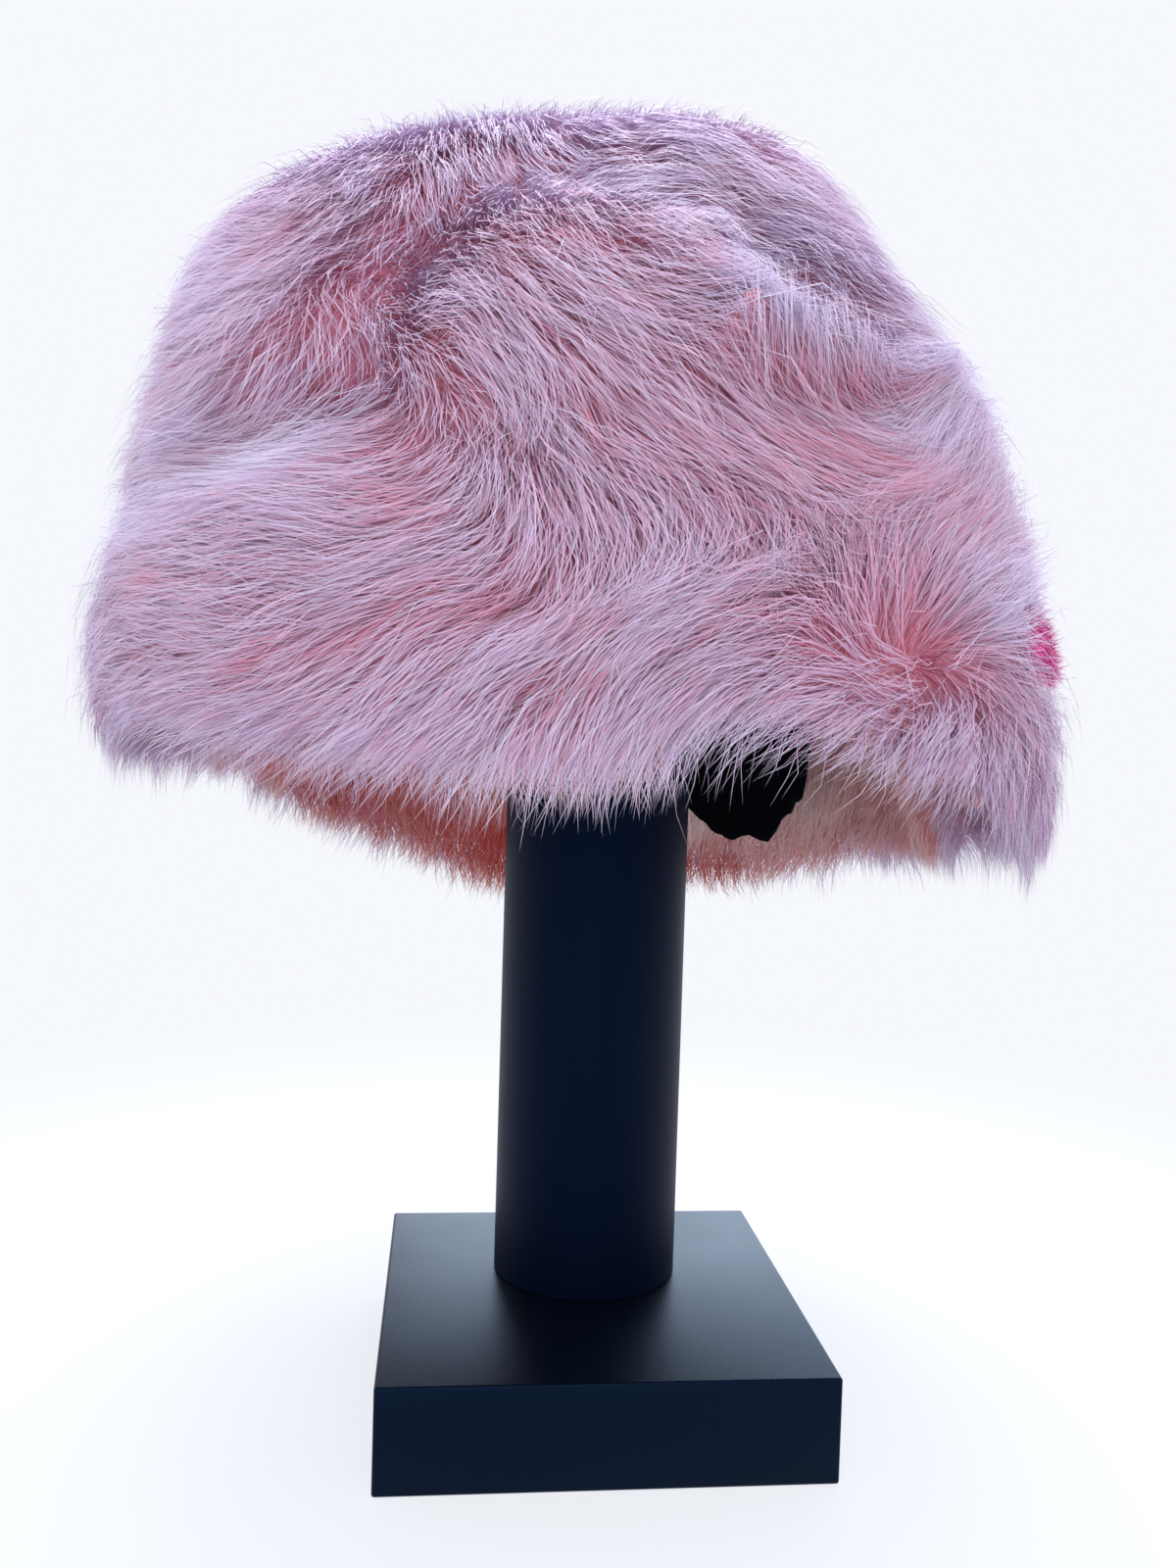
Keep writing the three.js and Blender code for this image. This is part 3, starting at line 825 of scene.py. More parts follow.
@dataclass
class FurLayer:
    """A field of hairs as one mesh of fine tapered strips.

    Attributes:
        groom: Lays the hairs.
        pile: The field's numbers.
        patch: The patch, which the hairs leave bare.
        tones: How pale the hairs are.
        gaps: Share of the tufts that lie low and show their rosy roots.
        gap_sink: How far these lie lower, as a share of the pile.
        border_sink: How far the hairs between locks do.
        soft: How far the hairs are shaded as one soft face, from 0 to 1.
        lifted_bare: Levels above the lifted hem over which the facing is bare.
        far_bare: Levels above the far hem over which the outside is bare.
        deep: Depth in mm of a fold that shortens the hairs fully.
        fold_short: How much shorter they are in such a fold.
        patch_short: How much shorter they are beside the patch.
        roll: How far a hair is rolled about itself at most, in radians.
        uneven: Spread of the length of locks, tufts and hairs.
        curls: Spread of the curl of locks and tufts, as shares of their twist, and of hairs, in radians.
    """

    groom: Groom
    pile: PileField
    patch: "SidePatch"
    tones: Tones = Tones()
    gaps: float = 0.10
    gap_sink: float = 0.11
    border_sink: float = 0.07
    soft: float = 0.85
    lifted_bare: float = 1.25
    far_bare: float = 0.95
    deep: float = 10.0
    fold_short: float = 0.15
    patch_short: float = 0.4
    roll: float = 0.8
    uneven: tuple[float, float, float] = (0.10, 0.16, 0.22)
    curls: tuple[float, float, float] = (1.1, 0.9, 0.16)

    def build(self, material: bpy.types.Material) -> bpy.types.Object:
        """Makes the piece.

        Args:
            material: Its finish.

        Returns:
            The piece.
        """
        hairs, tone = self.grow()
        form, angle = self.groom.form, hairs.root_angle
        if self.pile.side is Side.INNER:
            bare = self.lifted_bare * form.within(angle, LIFTED)
        else:
            bare = self.far_bare * form.within(angle, FAR)
        keep = self.patch.leaves(hairs.ground[0], self.pile.side)
        keep = keep & (hairs.root_level > form.hem(angle) + bare)
        hairs = Hairs(
            hairs.points[:, keep], hairs.ground[:, keep], hairs.out[:, keep],
            hairs.root_angle[keep], hairs.root_level[keep],
        )
        return self.dress(hairs, tone[:, keep], material)

    def dress(self, hairs: Hairs, tone: Points, material: bpy.types.Material) -> bpy.types.Object:
        """Makes a piece of some hairs.

        Args:
            hairs: The hairs.
            tone: Tone along each.
            material: Their finish.

        Returns:
            The piece.
        """
        piece = self.strips(hairs, tone)
        Bench.dress(piece, material, self.pile.slot)
        return piece

    def grow(self) -> tuple[Hairs, Points]:
        """Lays the hairs.

        Returns:
            The hairs, and their tone along them.
        """
        p, groom = self.pile, self.groom
        rng = np.random.default_rng(p.seed)
        area = groom.band_area(p.low, p.high)
        locks, tufts = round(area / groom.lock_spacing**2), round(area / groom.tuft_spacing**2)
        twist, curls, uneven = groom.twist, self.curls, self.uneven
        lock, _ = self._guides(locks, twist, curls[0] * twist, uneven[0], rng)
        tuft, tuft_luck = self._guides(tufts, twist, curls[1] * twist, uneven[1], rng)
        hair, hair_luck = self._guides(p.count, p.wild, curls[2], uneven[2], rng)
        lock_of_tuft, _ = groom.nearest(tuft.points[0], lock.points[0])
        tuft_of_hair, _ = groom.nearest(hair.points[0], tuft.points[0])
        _, border = groom.nearest(hair.points[0], lock.points[0])
        border = smoothstep(border, 0.8, 1.0)
        ordered = min(1.0, 2.0 * (1.0 - p.loose))
        gap = (rng.random(tuft_luck.size) < self.gaps)[tuft_of_hair] * ordered
        t = np.linspace(0.0, 1.0, p.steps + 1)[:, None, None]
        to_lock = groom.lock_pull * t**1.2
        tuft = tuft.drawn(lock, lock_of_tuft, to_lock)
        hair = hair.drawn(lock, lock_of_tuft[tuft_of_hair], to_lock)
        pull = groom.tuft_pull * (1.0 - p.loose * rng.random(p.count))[None, :, None] * t**1.1
        hair = hair.drawn(tuft, tuft_of_hair, pull)
        sink = self.border_sink * border * ordered + self.gap_sink * gap
        sink = sink * groom.form.sections(hair.root_level)["pile"]
        hair.points = hair.points - hair.out * sink[None, :, None] * t
        tones = self.tones
        tone = tones.even + tones.tuft * tuft_luck[tuft_of_hair] + tones.hair * hair_luck
        tone = tone - tones.border * border * ordered - tones.gap * gap
        return hair, np.clip(tone[None] + self._marks(hair), tones.least, tones.most)

    def _marks(self, hair: Hairs) -> Points:
        """How much paler the hairs' places on the hat make them, with painted light and painted shade
        among the marks.

        Args:
            hair: The hairs.

        Returns:
            What is added to the tone at each point.
        """
        if self.pile.side is Side.INNER:
            # The facing's painted glow, painted light and painted shade
            return lines_sum(hair.ground, FACING_LINES)
        tones = self.tones
        is_front = hair.ground[..., 1] < 0
        mark = np.where(is_front, tones.lines * lines_sum(hair.ground, TONE_LINES), 0.0)
        depth = self.groom.form.fold_depth(hair.ground)
        # Painted light in folds, against their shade; hairs on ridges are paler
        mark = mark + tones.fold * np.clip(depth, 0.0, None) - tones.ridge * np.clip(depth, None, 0.0)
        # Painted light: fur that faces up is made paler
        return mark + tones.above * smoothstep(hair.out[..., 2], 0.4, 0.9)

    def _guides(
        self, count: int, twist: float, curl: float, uneven: float, rng: np.random.Generator,
    ) -> tuple[Hairs, Points]:
        """Traces some hairs with chance in them.

        Args:
            count: How many.
            twist: Spread of their turn off the comb, in radians.
            curl: Spread of their curl.
            uneven: Spread of their length and height.
            rng: Source of chance.

        Returns:
            The hairs, and a chance number of each about 0.
        """
        p, groom = self.pile, self.groom
        angle, level = groom.roots(count, p.low, p.high, rng)
        site = groom.form.site(angle, level)
        reach = site.pile * p.length * np.clip(1.0 + uneven * rng.standard_normal(count), 0.3, 1.6)
        if p.side is Side.OUTER:
            sunk = np.clip(groom.form.fold_depth(site.point) / self.deep, 0.0, 1.0)
            near = self.patch.nearness(site.point)
            reach = reach * (1.0 - self.fold_short * sunk) * (1.0 - self.patch_short * near)
        stand = p.stand * (1.0 + 0.5 * uneven * rng.standard_normal(count))
        hairs = groom.trace(
            angle, level, reach, twist * rng.standard_normal(count), curl * rng.standard_normal(count),
            stand, p.side, p.steps,
        )
        return hairs, rng.standard_normal(count)

    def strips(self, hairs: Hairs, tone: Points) -> bpy.types.Object:
        """Turns the hairs into tapered strips that face out of the fur.

        Args:
            hairs: The hairs.
            tone: Tone along each.

        Returns:
            The piece, with the tone and the place along a hair in its map.
        """
        p = self.pile
        rng = np.random.default_rng(p.seed + 1)
        form = self.groom.form
        count, rungs = hairs.root_angle.size, p.steps
        along = unit(np.gradient(hairs.points, axis=0))
        flat = unit(np.cross(along, hairs.out))
        lift = np.cross(flat, along)
        roll = rng.uniform(-self.roll, self.roll, count)[None, :, None]
        across = flat * np.cos(roll) + lift * np.sin(roll)
        taper = np.interp(np.arange(rungs) / rungs, (0.0, 0.3, 0.6, 1.0), (0.8, 1.0, 0.8, 0.3))
        uneven = np.clip(1.0 + 0.25 * rng.standard_normal(count), 0.4, 1.8)
        half = 0.5 * p.width * uneven[None, :, None] * taper[:, None, None]
        corners = np.empty((count, 2 * rungs + 1, 3))
        corners[:, 0:-1:2] = (hairs.points[:-1] - across[:-1] * half).transpose(1, 0, 2)
        corners[:, 1:-1:2] = (hairs.points[:-1] + across[:-1] * half).transpose(1, 0, 2)
        corners[:, -1] = hairs.points[-1]
        own = unit(np.cross(across, along))
        own = own * np.sign(np.sum(own * hairs.out, axis=-1, keepdims=True) + 1e-9)
        shade = unit(hairs.out * self.soft + own * (1.0 - self.soft)).transpose(1, 0, 2)
        normals = np.concatenate([np.repeat(shade[:, :-1], 2, axis=1), shade[:, -1:]], axis=1)
        loops, starts, rung_of, place = [], [], [], []
        for i in range(rungs - 1):
            starts.append(len(loops))
            loops += [2 * i, 2 * i + 1, 2 * i + 3, 2 * i + 2]
            rung_of += [i, i, i + 1, i + 1]
            place += [0.0, 1.0, 1.0, 0.0]
        starts.append(len(loops))
        loops += [2 * rungs - 2, 2 * rungs - 1, 2 * rungs]
        rung_of += [rungs - 1, rungs - 1, rungs]
        place += [0.0, 1.0, 0.5]
        step = np.arange(count)[:, None]
        way_along = np.array(rung_of) / rungs
        return mesh_object(
            p.name,
            form.to_part(corners).reshape(-1, 3),
            (np.array(loops)[None] + step * corners.shape[1]).ravel(),
            (np.array(starts)[None] + step * len(loops)).ravel(),
            np.stack([
                tone[rung_of].T + 0.02 * np.array(place)[None],
                np.broadcast_to(0.01 + 0.98 * way_along[None], (count, len(place))),
            ], axis=-1).reshape(-1, 2),
            form.to_part_way(normals).reshape(-1, 3),
        )


def mesh_object(
    name: str, corners: Points, loops: Points, starts: Points, place: Points, normals: Points,
) -> bpy.types.Object:
    """A smooth mesh object from plain arrays.

    Args:
        name: Name of the piece.
        corners: Points in metres.
        loops: Corner of each face corner.
        starts: First face corner of each face.
        place: Map place of each face corner.
        normals: Direction that each point is shaded in.

    Returns:
        The object.
    """
    mesh = bpy.data.meshes.new(name)
    mesh.vertices.add(len(corners))
    mesh.vertices.foreach_set("co", corners.astype(np.float32).ravel())
    mesh.loops.add(len(loops))
    mesh.loops.foreach_set("vertex_index", loops.astype(np.int32))
    mesh.polygons.add(len(starts))
    mesh.polygons.foreach_set("loop_start", starts.astype(np.int32))
    layer = mesh.uv_layers.new(name=BAKE_MAP)
    layer.uv.foreach_set("vector", place.astype(np.float32).ravel())
    mesh.update(calc_edges=True)
    mesh.polygons.foreach_set("use_smooth", np.ones(len(starts), bool))
    mesh.validate()
    mesh.normals_split_custom_set_from_vertices(normals.astype(np.float32))
    thing = bpy.data.objects.new(name, mesh)
    bpy.context.scene.collection.objects.link(thing)
    return thing


class Element(Enum):
    """What is selected on a piece in edit mode."""

    FACE = "face"
    EDGE = "edge"


class Bench:
    """The few steps of modelling by hand that all pieces share."""

    @staticmethod
    def clear() -> None:
        """Leaves nothing selected."""
        bpy.ops.object.select_all(action="DESELECT")

    @staticmethod
    def added(name: str) -> bpy.types.Object:
        """Names the primitive that was just added.

        Args:
            name: Its name.

        Returns:
            The primitive.
        """
        piece = bpy.context.object
        piece.name = name
        piece.data.name = name
        return piece

    @staticmethod
    def pick(piece: bpy.types.Object) -> None:
        """Selects one piece and makes it the active one.

        Args:
            piece: The piece.
        """
        Bench.clear()
        piece.select_set(True)
        bpy.context.view_layer.objects.active = piece

    @staticmethod
    def dress(piece: bpy.types.Object, material: bpy.types.Material, slot: str, *nodes: str) -> None:
        """Gives a piece its finish and its place in the part.

        Args:
            piece: The piece.
            material: Its finish.
            slot: Material slot of the record; not used.
            nodes: CAD nodes that it stands for.
        """
        piece.data.materials.append(material)
        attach(piece, BODY)
        if nodes:
            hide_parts(*nodes)
        LOG.info("%s: %d faces", piece.name, len(piece.data.polygons))

    @staticmethod
    def corners(piece: bpy.types.Object) -> Points:
        """Reads the corners of a piece.

        Args:
            piece: The piece.

        Returns:
            Their places, a row each.
        """
        flat = np.empty(len(piece.data.vertices) * 3, np.float32)
        piece.data.vertices.foreach_get("co", flat)
        return flat.reshape(-1, 3).astype(float)

    @staticmethod
    def move(piece: bpy.types.Object, corners: Points) -> None:
        """Puts the corners of a piece at new places."""
        piece.data.vertices.foreach_set("co", corners.astype(np.float32).ravel())
        piece.data.update()

    @staticmethod
    def select(piece: bpy.types.Object, kind: Element, wanted: Callable[[object], bool]) -> None:
        """Goes into edit mode with some faces or edges selected.

        Args:
            piece: The active piece.
            kind: Whether faces or edges are selected.
            wanted: Tells which.
        """
        bpy.ops.object.mode_set(mode="EDIT")
        bpy.ops.mesh.select_all(action="DESELECT")
        shape = bmesh.from_edit_mesh(piece.data)
        for element in shape.faces if kind is Element.FACE else shape.edges:
            element.select = wanted(element)
        bmesh.update_edit_mesh(piece.data)

    @staticmethod
    def modify(piece: bpy.types.Object, kind: str, **settings: object) -> None:
        """Adds a modifier and applies it.

        Args:
            piece: The piece.
            kind: Kind of modifier.
            settings: Its settings.
        """
        Bench.pick(piece)
        modifier = piece.modifiers.new(kind.lower(), kind)
        for name, value in settings.items():
            setattr(modifier, name, value)
        bpy.ops.object.modifier_apply(modifier=modifier.name)

    @staticmethod
    def skin(
        name: str, columns: int, rows: int, surface: Callable[[Points, Points], Points],
    ) -> bpy.types.Object:
        """Wraps a grid over a surface and welds it where it meets itself.

        Args:
            name: Name of the piece.
            columns: Faces round it.
            rows: Faces along it.
            surface: Gives points in metres from the shares of the way round and along, 0 to 1.

        Returns:
            The piece, with the grid's map.
        """
        Bench.clear()
        bpy.ops.mesh.primitive_grid_add(x_subdivisions=columns, y_subdivisions=rows, size=1.0)
        piece = Bench.added(name)
        flat = Bench.corners(piece) + 0.5
        share_u = np.round(flat[:, 0] * columns) / columns
        share_v = np.round(flat[:, 1] * rows) / rows
        Bench.move(piece, surface(share_u, share_v))
        piece.data.uv_layers[0].name = BAKE_MAP
        bpy.ops.object.mode_set(mode="EDIT")
        bpy.ops.mesh.select_all(action="SELECT")
        bpy.ops.mesh.remove_doubles(threshold=1e-6)
        bpy.ops.object.mode_set(mode="OBJECT")
        bpy.ops.object.shade_smooth()
        return piece


@dataclass
class Wall:
    """A closed wall round the hat between two heights off the cloth, made of one wrapped grid.

    Attributes:
        form: The cloth.
        name: Name of the piece.
        low: Level of its lower edge.
        high: Level of its upper edge.
        outer: Height of its outer face from the angle and the level, in mm.
        inner: Height of its inner face.
        columns: Faces round it.
        rows: Faces up one face of it.
        rise: How far its lower edge stands off its level, in mm.
        drop: How far its upper edge stands off its level, in mm.
        hangs: Whether its lower part follows the hem.
    """

    form: HatForm
    name: str
    low: float
    high: float
    outer: Callable[[Points, Points], Points]
    inner: Callable[[Points, Points], Points]
    columns: int = 160
    rows: int = 24
    rise: float = 0.2
    drop: float = 0.2
    hangs: bool = False

    def build(self) -> bpy.types.Object:
        """Makes the wall: up its outer face, over its top, down its inner face and closed below."""
        return Bench.skin(self.name, self.columns, 2 * self.rows + 2, self._point)

    def _point(self, share_u: Points, share_v: Points) -> Points:
        """Points of the wall.

        Args:
            share_u: Shares of the way round.
            share_v: Shares of the way along its outline.

        Returns:
            Points in metres.
        """
        row = np.round(share_v * (2 * self.rows + 2)).astype(int)
        row = np.where(row == 2 * self.rows + 2, 0, row)
        is_inner = row > self.rows
        climb = np.where(is_inner, 2 * self.rows + 1 - row, row) / self.rows
        angle = np.where(share_u >= 1.0, 0.0, share_u) * 2 * math.pi
        level = self.low + (self.high - self.low) * climb
        scale = self.form.site(angle, level).per_level
        level = level + np.where(climb <= 0, self.rise, 0.0) / scale
        level = level - np.where((climb >= 1) & (self.high < TOP), self.drop, 0.0) / scale
        angle = np.where(level >= TOP, 0.0, angle)
        height = np.where(is_inner, self.inner(angle, level), self.outer(angle, level))
        if self.hangs:
            level = self.form.hung(angle, level)
        return self.form.to_part(self.form.at_height(angle, level, height))


class NodeWork:
    """Short ways to lay out shader nodes."""

    def __init__(self, tree: bpy.types.NodeTree) -> None:
        """Starts work on a tree."""
        self.tree = tree

    def node(self, kind: str, **settings: object) -> bpy.types.Node:
        """Adds a node.

        Args:
            kind: Its kind.
            settings: Its settings.

        Returns:
            The node.
        """
        made = self.tree.nodes.new(kind)
        for name, value in settings.items():
            setattr(made, name, value)
        return made

    def link(self, start: bpy.types.NodeSocket, end: bpy.types.NodeSocket) -> None:
        """Joins two sockets."""
        self.tree.links.new(start, end)

    def feed(self, socket: bpy.types.NodeSocket, value: object) -> None:
        """Sets a socket to a value, or joins another socket to it.

        Args:
            socket: The socket.
            value: A number, a colour or another socket.
        """
        if isinstance(value, bpy.types.NodeSocket):
            self.link(value, socket)
        else:
            socket.default_value = value

    def set(self, node: bpy.types.Node, values: dict[str, object]) -> None:
        """Sets or joins the named inputs of a node."""
        for name, value in values.items():
            self.feed(node.inputs[name], value)

    def math(self, operation: str, *values: object) -> bpy.types.NodeSocket:
        """A sum of sockets or numbers.

        Args:
            operation: What is done with them.
            values: The sockets or numbers.

        Returns:
            The result.
        """
        made = self.node("ShaderNodeMath", operation=operation)
        for socket, value in zip(made.inputs, values):
            self.feed(socket, value)
        return made.outputs[0]

    def mix(self, share: object, first: object, second: object) -> bpy.types.NodeSocket:
        """A mix of two colours.

        Args:
            share: How much of the second, socket or number.
            first: Socket or colour.
            second: Socket or colour.

        Returns:
            The mixed colour.
        """
        made = self.node("ShaderNodeMix", data_type="RGBA")
        self.feed(made.inputs["Factor"], share)
        self.feed(made.inputs[6], first)
        self.feed(made.inputs[7], second)
        return made.outputs[2]

    def ramp(self, value: bpy.types.NodeSocket, low: float, high: float) -> bpy.types.NodeSocket:
        """A smooth ramp.

        Args:
            value: The socket that it reads.
            low: Value where it is 0.
            high: Value where it is 1.

        Returns:
            The ramp's value.
        """
        made = self.node("ShaderNodeMapRange", interpolation_type="SMOOTHSTEP")
        self.set(made, {"Value": value, "From Min": low, "From Max": high})
        return made.outputs["Result"]

    def grain(self, group: bpy.types.NodeTree, scale: float, soft: float) -> bpy.types.NodeSocket:
        """Places the shared grain.

        Args:
            group: Its node group.
            scale: Its scale.
            soft: How much of it is fine.

        Returns:
            Its value.
        """
        made = self.node("ShaderNodeGroup", node_tree=group)
        self.set(made, {"Scale": scale, "Soft": soft})
        return made.outputs["Value"]

    def bump(self, height: bpy.types.NodeSocket, depth: float) -> bpy.types.NodeSocket:
        """Places a bump.

        Args:
            height: The heights.
            depth: Their depth in metres.

        Returns:
            The normal of the surface with the heights in it.
        """
        made = self.node("ShaderNodeBump")
        self.set(made, {"Height": height, "Distance": depth})
        return made.outputs["Normal"]


def linear(red: int, green: int, blue: int) -> tuple[float, float, float, float]:
    """Turns a screen colour into a shader colour.

    Args:
        red: Red from 0 to 255.
        green: Green from 0 to 255.
        blue: Blue from 0 to 255.

    Returns:
        The shader colour, with an alpha of one.
    """
    def one(value: int) -> float:
        """One channel."""
        share = value / 255.0
        return share / 12.92 if share <= 0.04045 else ((share + 0.055) / 1.055) ** 2.4

    return (one(red), one(green), one(blue), 1.0)


def new_group(name: str, inputs: dict[str, str], outputs: dict[str, str]) -> NodeWork:
    """Starts a shader node group.

    Args:
        name: Name of the group.
        inputs: Kinds of the named inputs.
        outputs: Kinds of the named outputs.

    Returns:
        Its node work.
    """
    tree = bpy.data.node_groups.new(name, "ShaderNodeTree")
    for socket, kind in inputs.items():
        tree.interface.new_socket(name=socket, in_out="INPUT", socket_type=kind)
    for socket, kind in outputs.items():
        tree.interface.new_socket(name=socket, in_out="OUTPUT", socket_type=kind)
    return NodeWork(tree)


def hair_colour_group() -> bpy.types.NodeTree:
    """Makes the colour of a hair from its tone and the place along it.

    Returns:
        The node group.
    """
    colour, number = "NodeSocketColor", "NodeSocketFloat"
    work = new_group(
        "hair_colour",
        {"Tone": number, "Along": number, "Root": colour, "Middle": colour, "Tip": colour},
        {"Colour": colour},
    )
    given = work.node("NodeGroupInput")
    result = work.node("NodeGroupOutput")
    tone, along, root, middle, tip = given.outputs[:5]
    lower = work.mix(work.ramp(along, 0.0, 0.42), root, middle)
    upper = work.mix(work.ramp(along, 0.45, 1.0), lower, tip)
    rosy = work.mix(work.ramp(tone, 0.75, 0.05), upper, root)
    work.link(work.mix(work.ramp(tone, 0.55, 1.0), rosy, tip), result.inputs["Colour"])
    return work.tree


def grain_group() -> bpy.types.NodeTree:
    """Makes fine uneven grain, as a value about a half, from the object's own place.

    Returns:
        The node group.
    """
    number = "NodeSocketFloat"
    work = new_group("grain", {"Scale": number, "Soft": number}, {"Value": number})
    given = work.node("NodeGroupInput")
    result = work.node("NodeGroupOutput")
    place = work.node("ShaderNodeTexCoord").outputs["Object"]
    scale, soft = given.outputs[:2]
    noise = work.node("ShaderNodeTexNoise")
    work.set(noise, {"Vector": place, "Scale": scale, "Roughness": soft, "Detail": 4.0})
    work.link(noise.outputs[0], result.inputs["Value"])
    return work.tree


@dataclass
class Workshop:
    """The shared node groups.

    Attributes:
        hair_colour: Colour of a hair.
        grain: Fine grain.
    """

    hair_colour: bpy.types.NodeTree
    grain: bpy.types.NodeTree


@dataclass(frozen=True)
class HairFinish:
    """Finish of single hairs: rosy at the root and pale at the tip.

    Attributes:
        name: Name of the material.
        root: Screen colour at the root.
        middle: Screen colour half way.
        tip: Screen colour at the tip.
        rough: Roughness.
        shine: Strength of the plain gloss.
    """

    name: str
    root: Screen
    middle: Screen
    tip: Screen
    rough: float = 0.55
    shine: float = 0.35

    def material(self, shop: Workshop) -> bpy.types.Material:
        """Makes the material.

        Args:
            shop: The shared node groups.

        Returns:
            The material.
        """
        made, work, shader = start_material(self.name)
        place = work.node("ShaderNodeUVMap", uv_map=BAKE_MAP)
        split = work.node("ShaderNodeSeparateXYZ")
        work.link(place.outputs["UV"], split.inputs[0])
        colour = work.node("ShaderNodeGroup", node_tree=shop.hair_colour)
        work.set(colour, {
            "Tone": split.outputs["X"],
            "Along": split.outputs["Y"],
            "Root": linear(*self.root),
            "Middle": linear(*self.middle),
            "Tip": linear(*self.tip),
        })
        work.set(shader, {
            "Base Color": colour.outputs["Colour"],
            "Roughness": self.rough,
            "Specular IOR Level": self.shine,
        })
        return made


@dataclass(frozen=True)
class ClothFinish:
    """Finish of cloth and undercoat: two colours broken up by grain, with a bump.

    Attributes:
        name: Name of the material.
        dark: Darker screen colour.
        light: Lighter screen colour.
        scale: Scale of the grain.
        bump: Depth of the bump in metres.
        rough: Roughness.
        sheen: Strength of the soft sheen.
        shine: Strength of the plain gloss.
    """

    name: str
    dark: Screen
    light: Screen
    scale: float
    bump: float
    rough: float = 0.9
    sheen: float = 0.2
    shine: float = 0.2

    def material(self, shop: Workshop) -> bpy.types.Material:
        """Makes the material.

        Args:
            shop: The shared node groups.

        Returns:
            The material.
        """
        made, work, shader = start_material(self.name)
        grain = work.grain(shop.grain, self.scale, 0.6)
        work.set(shader, {
            "Base Color": work.mix(work.ramp(grain, 0.3, 0.7), linear(*self.dark), linear(*self.light)),
            "Normal": work.bump(grain, self.bump),
            "Roughness": self.rough,
            "Sheen Weight": self.sheen,
            "Specular IOR Level": self.shine,
        })
        return made


@dataclass(frozen=True)
class LacquerFinish:
    """Satin lacquer with a fine grain and slight unevenness in its gloss.

    Attributes:
        name: Name of the material.
        colour: Screen colour.
        rough: Mean roughness.
        grain: Scale of the grain.
        shine: Strength of the plain gloss.
        tint: Screen colour of the gloss, blue to stand in for the blue light it reflects: a painted
            reflection tint.
        smear: Scale of the smears in colour and gloss.
        uneven: How much the roughness differs over them.
        paler: How much paler the palest place is.
        bump: Depth of the grain in metres.
    """

    name: str
    colour: Screen
    rough: float
    grain: float
    shine: float = 0.12
    tint: Screen = (118, 170, 255)
    smear: float = 14.0
    uneven: float = 0.16
    paler: float = 1.25
    bump: float = 0.00004

    def material(self, shop: Workshop) -> bpy.types.Material:
        """Makes the material.

        Args:
            shop: The shared node groups.

        Returns:
            The material.
        """
        made, work, shader = start_material(self.name)
        smear = work.grain(shop.grain, self.smear, 0.6)
        dark = linear(*self.colour)
        light = tuple(self.paler * c for c in dark[:3]) + (1.0,)
        rough = work.math("MULTIPLY", work.math("SUBTRACT", smear, 0.5), self.uneven)
        work.set(shader, {
            "Base Color": work.mix(smear, dark, light),
            "Roughness": work.math("ADD", rough, self.rough),
            "Normal": work.bump(work.grain(shop.grain, self.grain, 0.5), self.bump),
            "Specular IOR Level": self.shine,
            # Painted reflection colour: the gloss is tinted blue
            "Specular Tint": linear(*self.tint),
        })
        return made


@dataclass(frozen=True)
class FloorFinish:
    """Finish of the pale floor, which takes shade near the stand and glows like the surround far off.

    Attributes:
        name: Name of the material.
        colour: Screen colour near the stand.
        surround: Screen colour of the surround.
        glow: Strength of the glow near the stand.
        near: Where the shade starts to go over into the surround, in metres.
        far: Where it has.
    """

    name: str
    colour: Screen
    surround: Screen
    glow: float
    near: float = 0.1
    far: float = 0.5

    def material(self) -> bpy.types.Material:
        """Makes the material.

        Returns:
            The material.
        """
        made, work, shader = start_material(self.name)
        place = work.node("ShaderNodeTexCoord").outputs["Object"]
        away = work.node("ShaderNodeVectorMath", operation="LENGTH")
        work.link(place, away.inputs[0])
        share = work.ramp(away.outputs["Value"], self.near, self.far)
        rest = work.math("MULTIPLY", share, 1.0 - self.glow)
        work.set(shader, {
            "Base Color": work.mix(share, linear(*self.colour), (0.0, 0.0, 0.0, 1.0)),
            "Emission Strength": work.math("ADD", rest, self.glow),
            "Emission Color": linear(*self.surround),
            "Roughness": 1.0,
            "Specular IOR Level": 0.0,
        })
        return made


def start_material(name: str) -> tuple[bpy.types.Material, NodeWork, bpy.types.Node]:
    """Starts a material.

    Args:
        name: Its name.

    Returns:
        The material, its node work and its main shader.
    """
    made = bpy.data.materials.new(name)
    made.use_nodes = True
    return made, NodeWork(made.node_tree), made.node_tree.nodes["Principled BSDF"]


